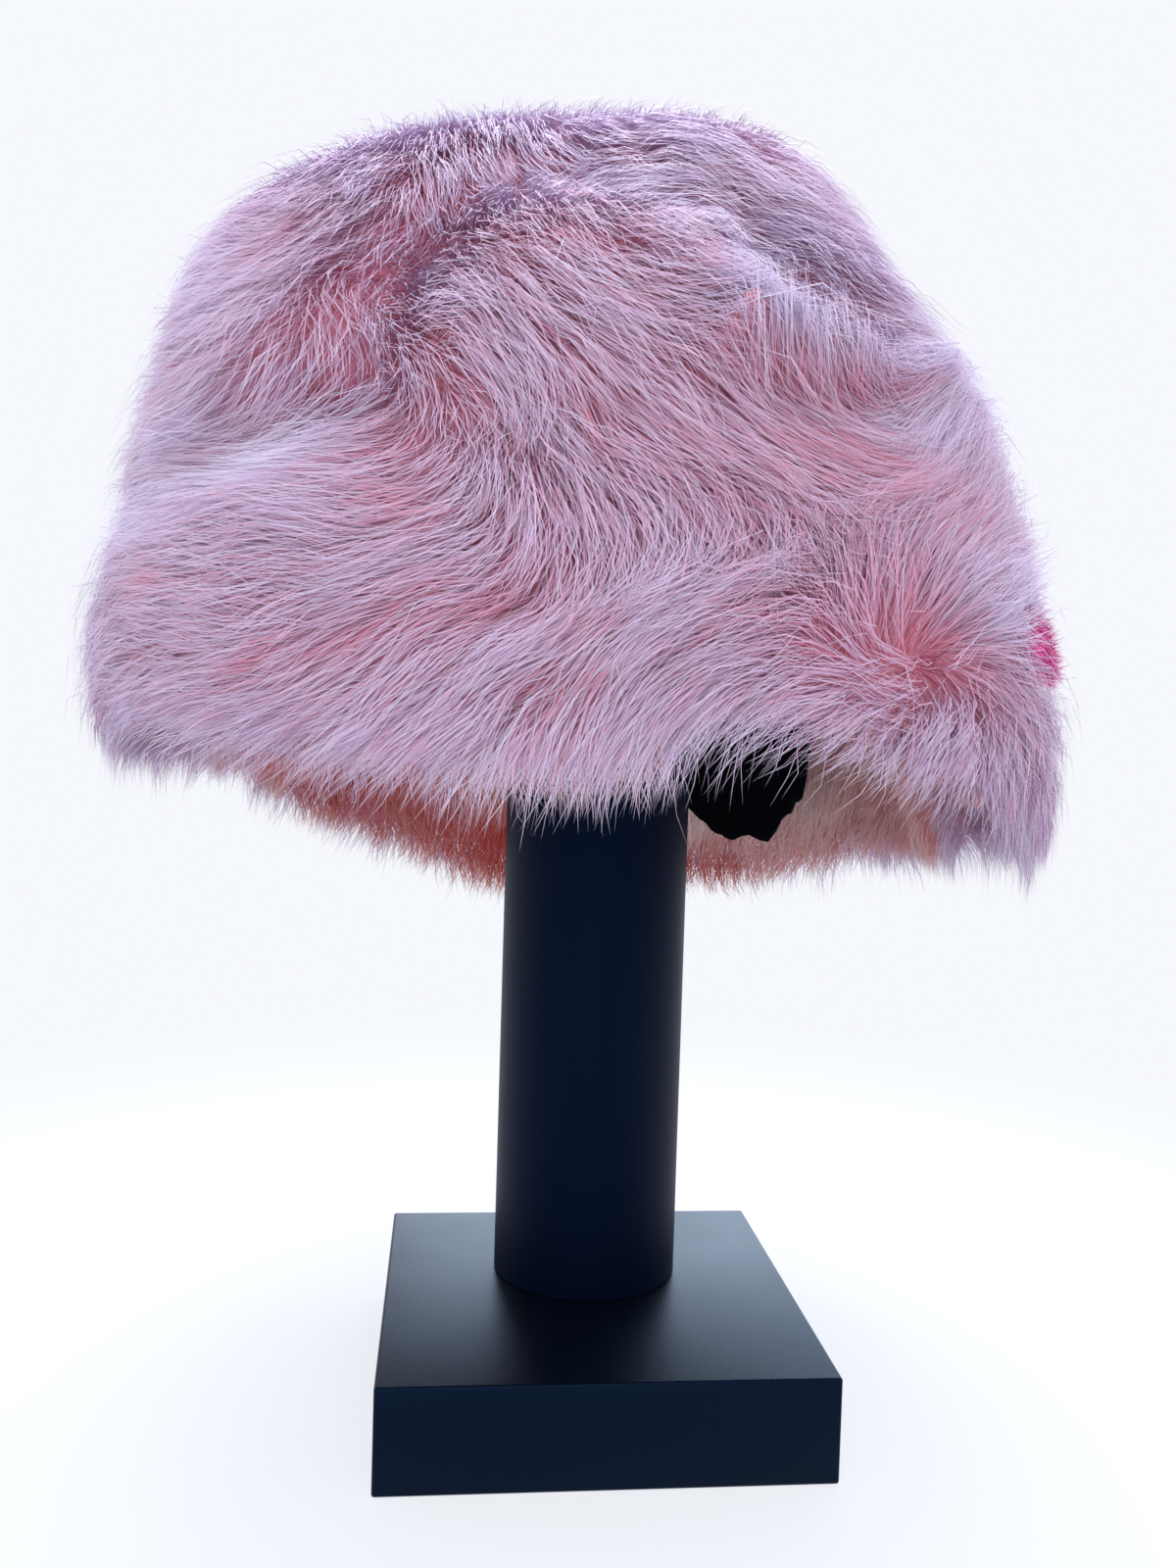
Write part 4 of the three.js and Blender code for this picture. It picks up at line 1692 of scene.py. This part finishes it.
@dataclass
class FurPart:
    """The undercoat of one fur piece of the hat.

    Attributes:
        form: The cloth.
        node: CAD node that the undercoat stands for.
        slot: Material slot of the record.
        low: Level of its lower edge.
        high: Level of its upper edge.
        side: Which face of the cloth the pile stands on.
        fill: Depth of the undercoat as a share of the pile.
        hem: How much of the undercoat's depth is left at the lower edge.
        lumps: Depth of the undercoat's unevenness in mm.
        lump_size: Width of its lumps in mm.
        thin: Levels above the lower edge over which it thins to the hem.
    """

    form: HatForm
    node: str
    slot: str
    low: float
    high: float
    side: Side
    fill: float = 0.5
    hem: float = 1.0
    lumps: float = 3.0
    lump_size: float = 11.0
    thin: float = 1.2

    def build(self, material: bpy.types.Material) -> None:
        """Makes the undercoat.

        Args:
            material: Its finish.
        """
        faces = (self._depth, self._ground) if self.side is Side.OUTER else (self._ground, self._depth)
        hangs = self.low < LEVEL["join"]
        piece = Wall(self.form, self.node + "_coat", self.low, self.high, *faces, hangs=hangs).build()
        self._roughen(piece)
        Bench.dress(piece, material, self.slot, self.node)

    def _depth(self, angle: Points, level: Points) -> Points:
        """Height of the pile's face off the cloth."""
        fade = self.hem + (1.0 - self.hem) * smoothstep(level, self.low, self.low + self.thin)
        return self.side.value * self.form.sections(level)["pile"] * self.fill * fade

    def _ground(self, angle: Points, level: Points) -> Points:
        """Height of the cloth's face."""
        return np.full(level.shape, 0.2 * self.side.value)

    def _roughen(self, piece: bpy.types.Object) -> None:
        """Presses uneven lumps into the undercoat.

        Args:
            piece: The undercoat.
        """
        clouds = bpy.data.textures.new(piece.name + "_lumps", "CLOUDS")
        clouds.noise_scale = self.lump_size * MM
        clouds.noise_depth = 2
        Bench.modify(
            piece, "DISPLACE", texture=clouds, texture_coords="GLOBAL",
            strength=self.lumps * MM, mid_level=0.5,
        )


@dataclass
class Lining:
    """The thin black lining and the slack fold of it that hangs out beside the post.

    Attributes:
        form: The cloth.
        gap: How far it stands off the fur's cloth, in mm.
        thick: Its thickness.
        hem_rise: How far its lower edge stands above the join.
        fold_angle: Where the slack fold's middle is about the post, in degrees.
        fold_side: Angle from the fold's middle to either end, in degrees.
        fold_wide: Angle from its middle over which the fold swings in.
        fold_low: Angle from its middle over which its hem drops.
        fold_power: How suddenly both fall off.
        fold_drop: How many levels its hem drops.
        fold_inward: How far it stands off the crown, in mm.
        fold_top: Level where it leaves the lining.
        ripple: Depth of the fold's ripples at its hem, in mm.
        waves: How many levels its hem goes up and down, in wide and in narrow waves.
        creases: Depth of the lining's wide and narrow creases, in mm.
    """

    form: HatForm
    gap: float = 0.4
    thick: float = 1.2
    hem_rise: float = 1.5
    fold_angle: float = 33.75
    fold_side: float = 56.25
    fold_wide: float = 47.25
    fold_low: float = 27.0
    fold_power: float = 4.0
    fold_drop: float = 1.7
    fold_inward: float = 38.0
    fold_top: float = 5.3
    ripple: float = 2.2
    waves: tuple[float, float] = (0.08, 0.05)
    creases: tuple[float, float] = (2.6, 1.0)

    def build(self, material: bpy.types.Material) -> None:
        """Makes the lining and its fold.

        Args:
            material: Their finish.
        """
        cloth = Wall(
            self.form, "lining_cloth", LEVEL["join"], TOP, self._outer, self._inner,
            columns=128, rows=32, rise=self.hem_rise,
        ).build()
        Bench.dress(cloth, material, "lining_cloth", "lining_top", "lining_side")
        fold = Bench.skin("slack_fold", 48, 36, self._fold_point)
        Bench.modify(fold, "SOLIDIFY", thickness=self.thick * MM, offset=-1.0, use_even_offset=True)
        Bench.dress(fold, material, "lining_cloth", "lining_fold")

    def _outer(self, angle: Points, level: Points) -> Points:
        """Height of the face towards the fur."""
        return -self.gap - self._crease(angle, level)

    def _inner(self, angle: Points, level: Points) -> Points:
        """Height of the face towards the head."""
        return self._outer(angle, level) - self.thick

    def _crease(self, angle: Points, level: Points) -> Points:
        """The lining's soft creases.

        Args:
            angle: Angles about the post.
            level: Places between the sections.

        Returns:
            How far they stand off the crown, in mm.
        """
        run = 0.5 + 0.5 * np.sin(9.0 * angle + 1.7 * np.sin(2.0 * angle) + 0.8 * level)
        fine = 0.5 + 0.5 * np.sin(23.0 * angle - 1.4 * level + 2.0 * np.sin(3.0 * angle))
        fade = smoothstep(level, LEVEL["join"], 4.2) * (1.0 - smoothstep(level, 6.5, 9.0))
        return (self.creases[0] * run**2 + self.creases[1] * fine**2) * fade

    def _fold_point(self, share_u: Points, share_v: Points) -> Points:
        """Points of the fold.

        Args:
            share_u: Shares of the way across.
            share_v: Shares of the way up.

        Returns:
            Points in metres.
        """
        join = LEVEL["join"]
        off = (2.0 * share_u - 1.0) * math.radians(self.fold_side)
        angle = math.radians(self.fold_angle) + off
        share = np.exp(-np.abs(off / math.radians(self.fold_wide)) ** self.fold_power)
        drop = np.exp(-np.abs(off / math.radians(self.fold_low)) ** self.fold_power)
        wave = self.waves[0] * np.sin(19.0 * off + 0.8) + self.waves[1] * np.sin(37.0 * off)
        hem = join + self.hem_rise / self.form.site(angle, np.full(off.shape, join)).per_level
        hem = hem - (self.fold_drop + wave) * drop
        level = hem + (self.fold_top - hem) * share_v
        swing = share * smoothstep(self.fold_top - level, 0.0, self.fold_top - join)
        ripple = self.ripple * np.sin(13.0 * off + 1.5 * level) * share * (1.0 - share_v)
        height = -2.0 * self.gap - self.thick - self.fold_inward * swing + ripple
        return self.form.to_part(self.form.at_height(angle, level, height))


@dataclass
class SidePatch:
    """The plain oval patch sunk into the pile of the brim's right side.

    Attributes:
        form: The cloth.
        turn: Its angle about the post, in degrees.
        level: Its level.
        width: Its width in mm.
        height: Its height.
        thick: Its thickness.
        sink: How deep it is sunk.
        pile_share: Where the pile's dense face is.
        bare: How much of the patch's ground has no fur roots.
        margin: How far about it the fur is shorter, in mm.
        rim: Width of each of the two steps inside its edge, as a share of its own size.
        fuzz_edge: How near its edge the fuzz grows.
        fuzz_root: How deep the fuzz is rooted, in mm.
        fuzz_rise: How much the fuzz stands up against how much it leans out.
    """

    form: HatForm
    turn: float = -18.0
    level: float = 2.3
    width: float = 46.0
    height: float = 21.0
    thick: float = 6.0
    sink: float = 3.0
    pile_share: float = 0.78
    bare: float = 0.93
    margin: float = 10.0
    rim: float = 0.12
    fuzz_edge: float = 0.98
    fuzz_root: float = 0.5
    fuzz_rise: float = 0.7

    def place(self) -> Matrix:
        """Finds where the patch lies.

        Returns:
            Its ways across, up and out, and its centre, in mm of the hat's frame.
        """
        angle, level = np.array(math.radians(self.turn)), np.array(self.level)
        depth = self.form.sections(level)["pile"] * self.pile_share
        centre = Vector(self.form.at_height(angle, level, depth))
        out = Vector(self.form.site(angle, level).out)
        across = Vector((0, 0, 1)).cross(out).normalized()
        turned = Matrix((across, out.cross(across), out)).transposed().to_4x4()
        return Matrix.Translation(centre) @ turned

    def _own_place(self, points: Points) -> Points:
        """Points of the hat's frame as seen from the patch: across, up and out, in mm."""
        back = np.array(self.place().inverted())
        return points @ back[:3, :3].T + back[:3, 3]

    def leaves(self, points: Points, side: Side) -> Points:
        """Which roots are clear of the patch.

        Args:
            points: The roots in mm.
            side: Which face of the cloth they are on.

        Returns:
            True for each that is.
        """
        own = self._own_place(points)
        away = np.hypot(own[..., 0] / self.width, own[..., 1] / self.height) * 2.0
        return (away > self.bare) | (np.abs(own[..., 2]) > self.width) | (side is Side.INNER)

    def nearness(self, points: Points) -> Points:
        """How near roots are to the patch.

        Args:
            points: The roots in mm.

        Returns:
            Shares from 0 to 1.
        """
        own = self._own_place(points)
        wide, high = 0.5 * self.width + self.margin, 0.5 * self.height + self.margin
        away = np.hypot(own[..., 0] / wide, own[..., 1] / high)
        return (1.0 - smoothstep(away, 0.55, 1.0)) * (np.abs(own[..., 2]) < self.width)

    def fuzz(self, pile: PileField) -> tuple[Hairs, Points]:
        """Short fuzz all over the pad.

        Args:
            pile: The fuzz's numbers, with its length in mm.

        Returns:
            The hairs, and their tone along them.
        """
        rng = np.random.default_rng(pile.seed)
        turn = rng.uniform(0.0, 2.0 * math.pi, pile.count)
        away = np.sqrt(rng.random(pile.count)) * self.fuzz_edge
        round_off = np.sqrt(np.maximum(0.0, 1.0 - away**4))
        root = np.stack([
            0.5 * self.width * away * np.cos(turn),
            0.5 * self.height * away * np.sin(turn),
            (self.thick - self.sink) * round_off - self.fuzz_root,
        ], axis=-1)
        rise = np.full(pile.count, self.fuzz_rise)
        way = np.stack([away * np.cos(turn), away * np.sin(turn), rise], axis=-1)
        way = unit(way + pile.wild * rng.standard_normal(way.shape))
        curl = pile.wild * rng.standard_normal(way.shape)
        length = pile.length * (1.0 + 0.25 * rng.standard_normal(pile.count))
        t = np.linspace(0.0, 1.0, pile.steps + 1)[:, None, None]
        own = root + (way * t + curl * t**2 * 0.4) * length[None, :, None]
        lay = np.array(self.place())
        points = own @ lay[:3, :3].T + lay[:3, 3]
        out = np.broadcast_to(lay[:3, 2], points.shape)
        hairs = Hairs(points, points, out, turn, away)
        tone = np.clip(0.55 + 0.2 * rng.standard_normal(pile.count), 0.01, 0.97)
        return hairs, np.broadcast_to(tone, points.shape[:2])

    def build(self, material: bpy.types.Material) -> None:
        """Makes the pad: a round slab with a rounded edge, stretched to an oval.

        Args:
            material: Its finish.
        """
        Bench.clear()
        bpy.ops.mesh.primitive_cylinder_add(vertices=64, radius=0.5, depth=1.0)
        piece = Bench.added("patch_pad")
        Bench.select(piece, Element.FACE, lambda face: abs(face.normal.z) > 0.9)
        bpy.ops.mesh.inset(thickness=self.rim)
        bpy.ops.mesh.inset(thickness=self.rim)
        bpy.ops.object.mode_set(mode="OBJECT")
        Bench.modify(piece, "BEVEL", width=0.2, segments=4, limit_method="ANGLE")
        size = Matrix.Diagonal((self.width, self.height, self.thick, 1.0))
        lift = Matrix.Translation((0, 0, self.thick / 2 - self.sink))
        piece.data.transform(self.place() @ lift @ size)
        Bench.move(piece, self.form.to_part(Bench.corners(piece)))
        Bench.pick(piece)
        bpy.ops.object.shade_smooth()
        Bench.dress(piece, material, "patch_cloth", "side_patch")


def is_level(edge: bmesh.types.BMEdge) -> bool:
    """Whether both ends of an edge are at one height."""
    return abs(edge.verts[0].co.z - edge.verts[1].co.z) < 1e-6


@dataclass
class Stand:
    """The black post and its square base.

    Attributes:
        side: Side of the base in mm.
        height: Height of the base.
        edge: Rounding of the base's edges.
        radius: Radius of the post.
        back: How far the post stands behind the base's centre.
        top: Height of the post's hidden end.
        top_edge: Rounding of that end.
        foot_edge: Rounding of its foot.
        gap: Clear gap between post and base.
    """

    side: float = 120.0
    height: float = 28.0
    edge: float = 0.8
    radius: float = 27.7
    back: float = 15.2
    top: float = 343.0
    top_edge: float = 5.0
    foot_edge: float = 0.5
    gap: float = 0.4

    def build(self, post_finish: bpy.types.Material, base_finish: bpy.types.Material) -> None:
        """Makes both pieces.

        Args:
            post_finish: Finish of the post.
            base_finish: Finish of the base.
        """
        self._finish(self._post(), post_finish, "stand_post")
        self._finish(self._base(), base_finish, "stand_base")

    def _finish(self, piece: bpy.types.Object, material: bpy.types.Material, node: str) -> None:
        """Dresses a piece and puts it in the place of its node.

        Args:
            piece: The piece.
            material: Its finish.
            node: CAD node that it stands for.
        """
        Bench.pick(piece)
        bpy.ops.object.transform_apply(location=True, rotation=True, scale=True)
        bpy.ops.object.shade_smooth_by_angle(angle=math.radians(35))
        Bench.dress(piece, material, "stand_black", node)

    def _post(self) -> bpy.types.Object:
        """Makes the tall round post, with a soft upper edge and a crisp foot.

        Returns:
            The post.
        """
        low = self.height + self.gap
        Bench.clear()
        bpy.ops.mesh.primitive_cylinder_add(
            vertices=128, radius=self.radius * MM, depth=(self.top - low) * MM,
            location=(0, self.back * MM, 0.5 * (self.top + low) * MM),
        )
        piece = Bench.added("post_tube")
        self._round(piece, lambda z: z > 0, self.top_edge, 6)
        self._round(piece, lambda z: z < 0, self.foot_edge, 3)
        return piece

    def _round(
        self, piece: bpy.types.Object, is_end: Callable[[float], bool], width: float, steps: int,
    ) -> None:
        """Rounds the rim at one end of the post.

        Args:
            piece: The post.
            is_end: Tells from a height about its middle whether it is at that end.
            width: Width of the rounding in mm.
            steps: Faces across it.
        """
        def is_rim(edge: bmesh.types.BMEdge) -> bool:
            """Whether an edge is on the rim of that end."""
            angled = len(edge.link_faces) == 2 and edge.calc_face_angle() > 1.0
            return is_level(edge) and angled and is_end(edge.verts[0].co.z)

        Bench.select(piece, Element.EDGE, is_rim)
        bpy.ops.mesh.bevel(offset=width * MM, segments=steps, affect="EDGES")
        bpy.ops.object.mode_set(mode="OBJECT")

    def _base(self) -> bpy.types.Object:
        """Makes the square plate, with slightly rounded edges and corners.

        Returns:
            The plate.
        """
        Bench.clear()
        bpy.ops.mesh.primitive_cube_add(size=1.0, location=(0, 0, 0.5 * self.height * MM))
        piece = Bench.added("base_plate")
        piece.scale = (self.side * MM, self.side * MM, self.height * MM)
        bpy.ops.object.transform_apply(location=False, rotation=False, scale=True)
        Bench.select(piece, Element.EDGE, lambda edge: not is_level(edge))
        bpy.ops.mesh.bevel(offset=1.6 * self.edge * MM, segments=4, affect="EDGES")
        bpy.ops.object.mode_set(mode="OBJECT")
        Bench.modify(piece, "BEVEL", width=self.edge * MM, segments=4, limit_method="ANGLE")
        return piece


# The soft lights: place and side in metres, power in watts and colour
LIGHTS = {
    "back_window": ((0.35, 1.20, 0.60), 1.2, 14.0, (0.60, 0.79, 1.0)),
    "top_back": ((0.00, 0.36, 1.15), 0.8, 12.0, (0.94, 0.92, 1.0)),
    "left_back": ((-1.05, 0.50, 0.62), 0.7, 2.0, (0.66, 0.82, 1.0)),
    "right_back": ((1.05, 0.45, 0.55), 0.7, 2.2, (0.60, 0.78, 1.0)),
    "top_front": ((0.00, -0.50, 1.25), 0.9, 6.2, (0.94, 0.96, 1.0)),
    "front_fill": ((-0.25, -1.4, 0.24), 1.2, 6.5, (1.0, 0.96, 0.97)),
}


@dataclass
class Studio:
    """Pale floor, soft light and the camera.

    Attributes:
        camera_place: The camera's place in mm.
        heading: The way it looks, to the right and to the back.
        pitch: How far it looks down, in degrees.
        roll: How far it is tilted, in degrees.
        focal_px: Its focal length in pixels of the picture.
        picture: Width and height of the picture.
        sensor: Height of its sensor in mm.
        surround: Screen colour of the surround.
        ambient: How much of the surround's light falls on the hat.
        floor_radius: Radius of the floor in metres.
        aim: Where the lights are aimed, in metres.
    """

    camera_place: Triple = (-45.1, -383.8, 192.2)
    heading: tuple[float, float] = (0.1045, 0.9945)
    pitch: float = 2.19
    roll: float = 1.77
    focal_px: float = 1340.8
    picture: tuple[int, int] = (1200, 1600)
    sensor: float = 36.0
    surround: Screen = (246, 248, 253)
    ambient: float = 0.68
    floor_radius: float = 6.0
    aim: Triple = (0.0, 0.015, 0.24)

    def build(self, floor_finish: bpy.types.Material) -> None:
        """Sets everything up.

        Args:
            floor_finish: Finish of the floor.
        """
        self._camera()
        self._floor(floor_finish)
        self._world()
        for name, row in LIGHTS.items():
            self._light(name, *row)

    def _camera(self) -> None:
        """Puts the camera at the height and the tilt that the hat is seen from."""
        pitch, roll = math.radians(self.pitch), math.radians(self.roll)
        ahead = Vector((self.heading[0], self.heading[1], 0)).normalized()
        ahead = (ahead * math.cos(pitch) - Vector((0, 0, 1)) * math.sin(pitch)).normalized()
        level = ahead.cross(Vector((0, 0, 1))).normalized()
        above = level.cross(ahead)
        right = level * math.cos(roll) + above * math.sin(roll)
        up = above * math.cos(roll) - level * math.sin(roll)
        camera = bpy.data.cameras.new("camera")
        camera.sensor_fit = "VERTICAL"
        camera.sensor_height = self.sensor
        camera.lens = self.focal_px * self.sensor / self.picture[1]
        camera.clip_start = 0.01
        thing = bpy.data.objects.new("camera", camera)
        turn = Matrix((right, up, -ahead)).transposed().to_4x4()
        thing.matrix_world = Matrix.Translation(Vector(self.camera_place) * MM) @ turn
        bpy.context.scene.collection.objects.link(thing)
        bpy.context.scene.camera = thing

    def _floor(self, material: bpy.types.Material) -> None:
        """Lays the wide round floor.

        Args:
            material: Its finish.
        """
        Bench.clear()
        bpy.ops.mesh.primitive_circle_add(vertices=96, radius=self.floor_radius, fill_type="NGON")
        floor = Bench.added("floor")
        floor.data.materials.append(material)

    def _world(self) -> None:
        """Sets up the even pale surround, which lights the hat less than it shows."""
        world = bpy.data.worlds.new("surround")
        world.use_nodes = True
        work = NodeWork(world.node_tree)
        back = world.node_tree.nodes["Background"]
        ray = work.node("ShaderNodeLightPath")
        seen = work.math("MAXIMUM", ray.outputs["Is Camera Ray"], ray.outputs["Is Glossy Ray"])
        back.inputs["Color"].default_value = linear(*self.surround)
        strength = work.math("MULTIPLY_ADD", seen, 1.0 - self.ambient, self.ambient)
        work.link(strength, back.inputs["Strength"])
        bpy.context.scene.world = world
        bpy.context.scene.view_settings.view_transform = "Standard"

    def _light(self, name: str, place: Triple, size: float, power: float, colour: Triple) -> None:
        """Hangs a soft square light that faces the hat.

        Args:
            name: Its name.
            place: Its place in metres.
            size: Its side in metres.
            power: Its power in watts.
            colour: Its colour.
        """
        light = bpy.data.lights.new(name, "AREA")
        light.size = size
        light.energy = power
        light.color = colour
        thing = bpy.data.objects.new(name, light)
        thing.location = place
        thing.rotation_euler = (Vector(self.aim) - Vector(place)).to_track_quat("-Z", "Y").to_euler()
        bpy.context.scene.collection.objects.link(thing)


FUR_PIECES = (
    PileField("crown_top_fur", "outer_fur", 32000, 11, low=6.0, high=9.97, length=1.0, width=0.27),
    PileField("crown_side_fur", "outer_fur", 39000, 23, low=3.0, high=6.1),
    PileField("brim_fur", "outer_fur", 39000, 37, low=1.3, high=3.1),
    PileField(
        "facing_fur", "facing_fur", 24000, 53, low=1.2, high=3.0, side=Side.INNER,
        length=0.85, stand=0.95, width=0.24, loose=0.6, wild=0.7,
    ),
)
GUARD_HAIRS = PileField(
    "guard_hairs", "outer_fur", 36000, 71, low=1.3, high=9.97,
    length=1.05, stand=1.16, width=0.16, loose=1.0, wild=0.45, steps=2,
)
HEM_FRINGE = PileField(
    "hem_fringe", "outer_fur", 9000, 83, low=1.12, high=1.55,
    length=1.1, stand=0.85, width=0.15, loose=1.0, wild=0.6,
)
FACING_FRINGE = PileField(
    "facing_fringe", "facing_fur", 6000, 89, low=1.1, high=1.6, side=Side.INNER,
    length=0.95, stand=0.6, width=0.17, loose=1.0, wild=0.8,
)
PATCH_FUZZ = PileField("patch_fuzz", "patch_cloth", 3000, 97, length=4.0, width=0.3, wild=0.35, steps=2)

OUTER_HAIR = HairFinish("outer_hair", (224, 126, 149), (206, 170, 202), (222, 210, 242))
# Its red root is what the facing's painted glow and painted shade mix towards
FACING_HAIR = HairFinish("facing_hair", (208, 84, 78), (242, 174, 170), (252, 228, 226))
GUARD_HAIR = HairFinish("guard_hair", (206, 158, 190), (216, 200, 230), (238, 230, 252))
FUZZ_PINK = HairFinish("fuzz_pink", (255, 84, 176), (255, 140, 214), (255, 184, 234))
UNDERCOAT = ClothFinish("undercoat", (224, 130, 150), (232, 148, 172), scale=220.0, bump=0.002)
FACING_COAT = ClothFinish("facing_undercoat", (192, 96, 94), (216, 142, 142), scale=220.0, bump=0.002)
LINING_BLACK = ClothFinish(
    "lining_black", (3, 4, 9), (8, 9, 16), scale=900.0, bump=0.0002, sheen=0.0, shine=0.03,
)
PATCH_PINK = ClothFinish(
    "patch_pink", (255, 84, 176), (255, 124, 206), scale=900.0, bump=0.0006, rough=0.95, sheen=0.3,
)
POST_BLACK = LacquerFinish("post_black", (3, 9, 27), rough=0.5, grain=1800.0)
BASE_BLACK = LacquerFinish("base_black", (2, 8, 20), rough=0.38, grain=1400.0, shine=0.2)
FLOOR_PALE = FloorFinish("floor_pale", (128, 130, 134), surround=(246, 248, 253), glow=0.78)


def main() -> None:
    """Builds the hat, its stand and the studio."""
    logging.basicConfig(level=logging.INFO, format="%(name)s %(message)s")
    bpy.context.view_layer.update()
    shop = Workshop(hair_colour_group(), grain_group())
    form = HatForm()
    groom = Groom(form, Comb())
    facing_groom = Groom(
        form, Comb(), lock_spacing=13.0, tuft_spacing=5.5, lock_pull=0.3, tuft_pull=0.7, twist=0.6,
    )
    patch = SidePatch(form)
    Studio().build(FLOOR_PALE.material())
    Stand().build(POST_BLACK.material(shop), BASE_BLACK.material(shop))
    Lining(form).build(LINING_BLACK.material(shop))
    patch.build(PATCH_PINK.material(shop))
    coat, facing_coat = UNDERCOAT.material(shop), FACING_COAT.material(shop)
    edge, join = LEVEL["edge"], LEVEL["join"]
    FurPart(form, "crown_top", "outer_fur", edge, TOP, Side.OUTER).build(coat)
    FurPart(form, "crown_side", "outer_fur", join, edge, Side.OUTER).build(coat)
    FurPart(form, "brim", "outer_fur", COAT_HEM, join, Side.OUTER, hem=0.1).build(coat)
    FurPart(form, "brim_facing", "facing_fur", COAT_HEM, join, Side.INNER, hem=0.1).build(facing_coat)
    outer_hair, facing_hair = OUTER_HAIR.material(shop), FACING_HAIR.material(shop)
    for pile in FUR_PIECES:
        if pile.side is Side.INNER:
            FurLayer(facing_groom, pile, patch).build(facing_hair)
        else:
            FurLayer(groom, pile, patch).build(outer_hair)
    guard_hair = GUARD_HAIR.material(shop)
    FurLayer(groom, GUARD_HAIRS, patch).build(guard_hair)
    FurLayer(groom, HEM_FRINGE, patch).build(guard_hair)
    FurLayer(facing_groom, FACING_FRINGE, patch).build(guard_hair)
    FurLayer(groom, PATCH_FUZZ, patch).dress(*patch.fuzz(PATCH_FUZZ), FUZZ_PINK.material(shop))


if __name__ == "__main__":
    main()
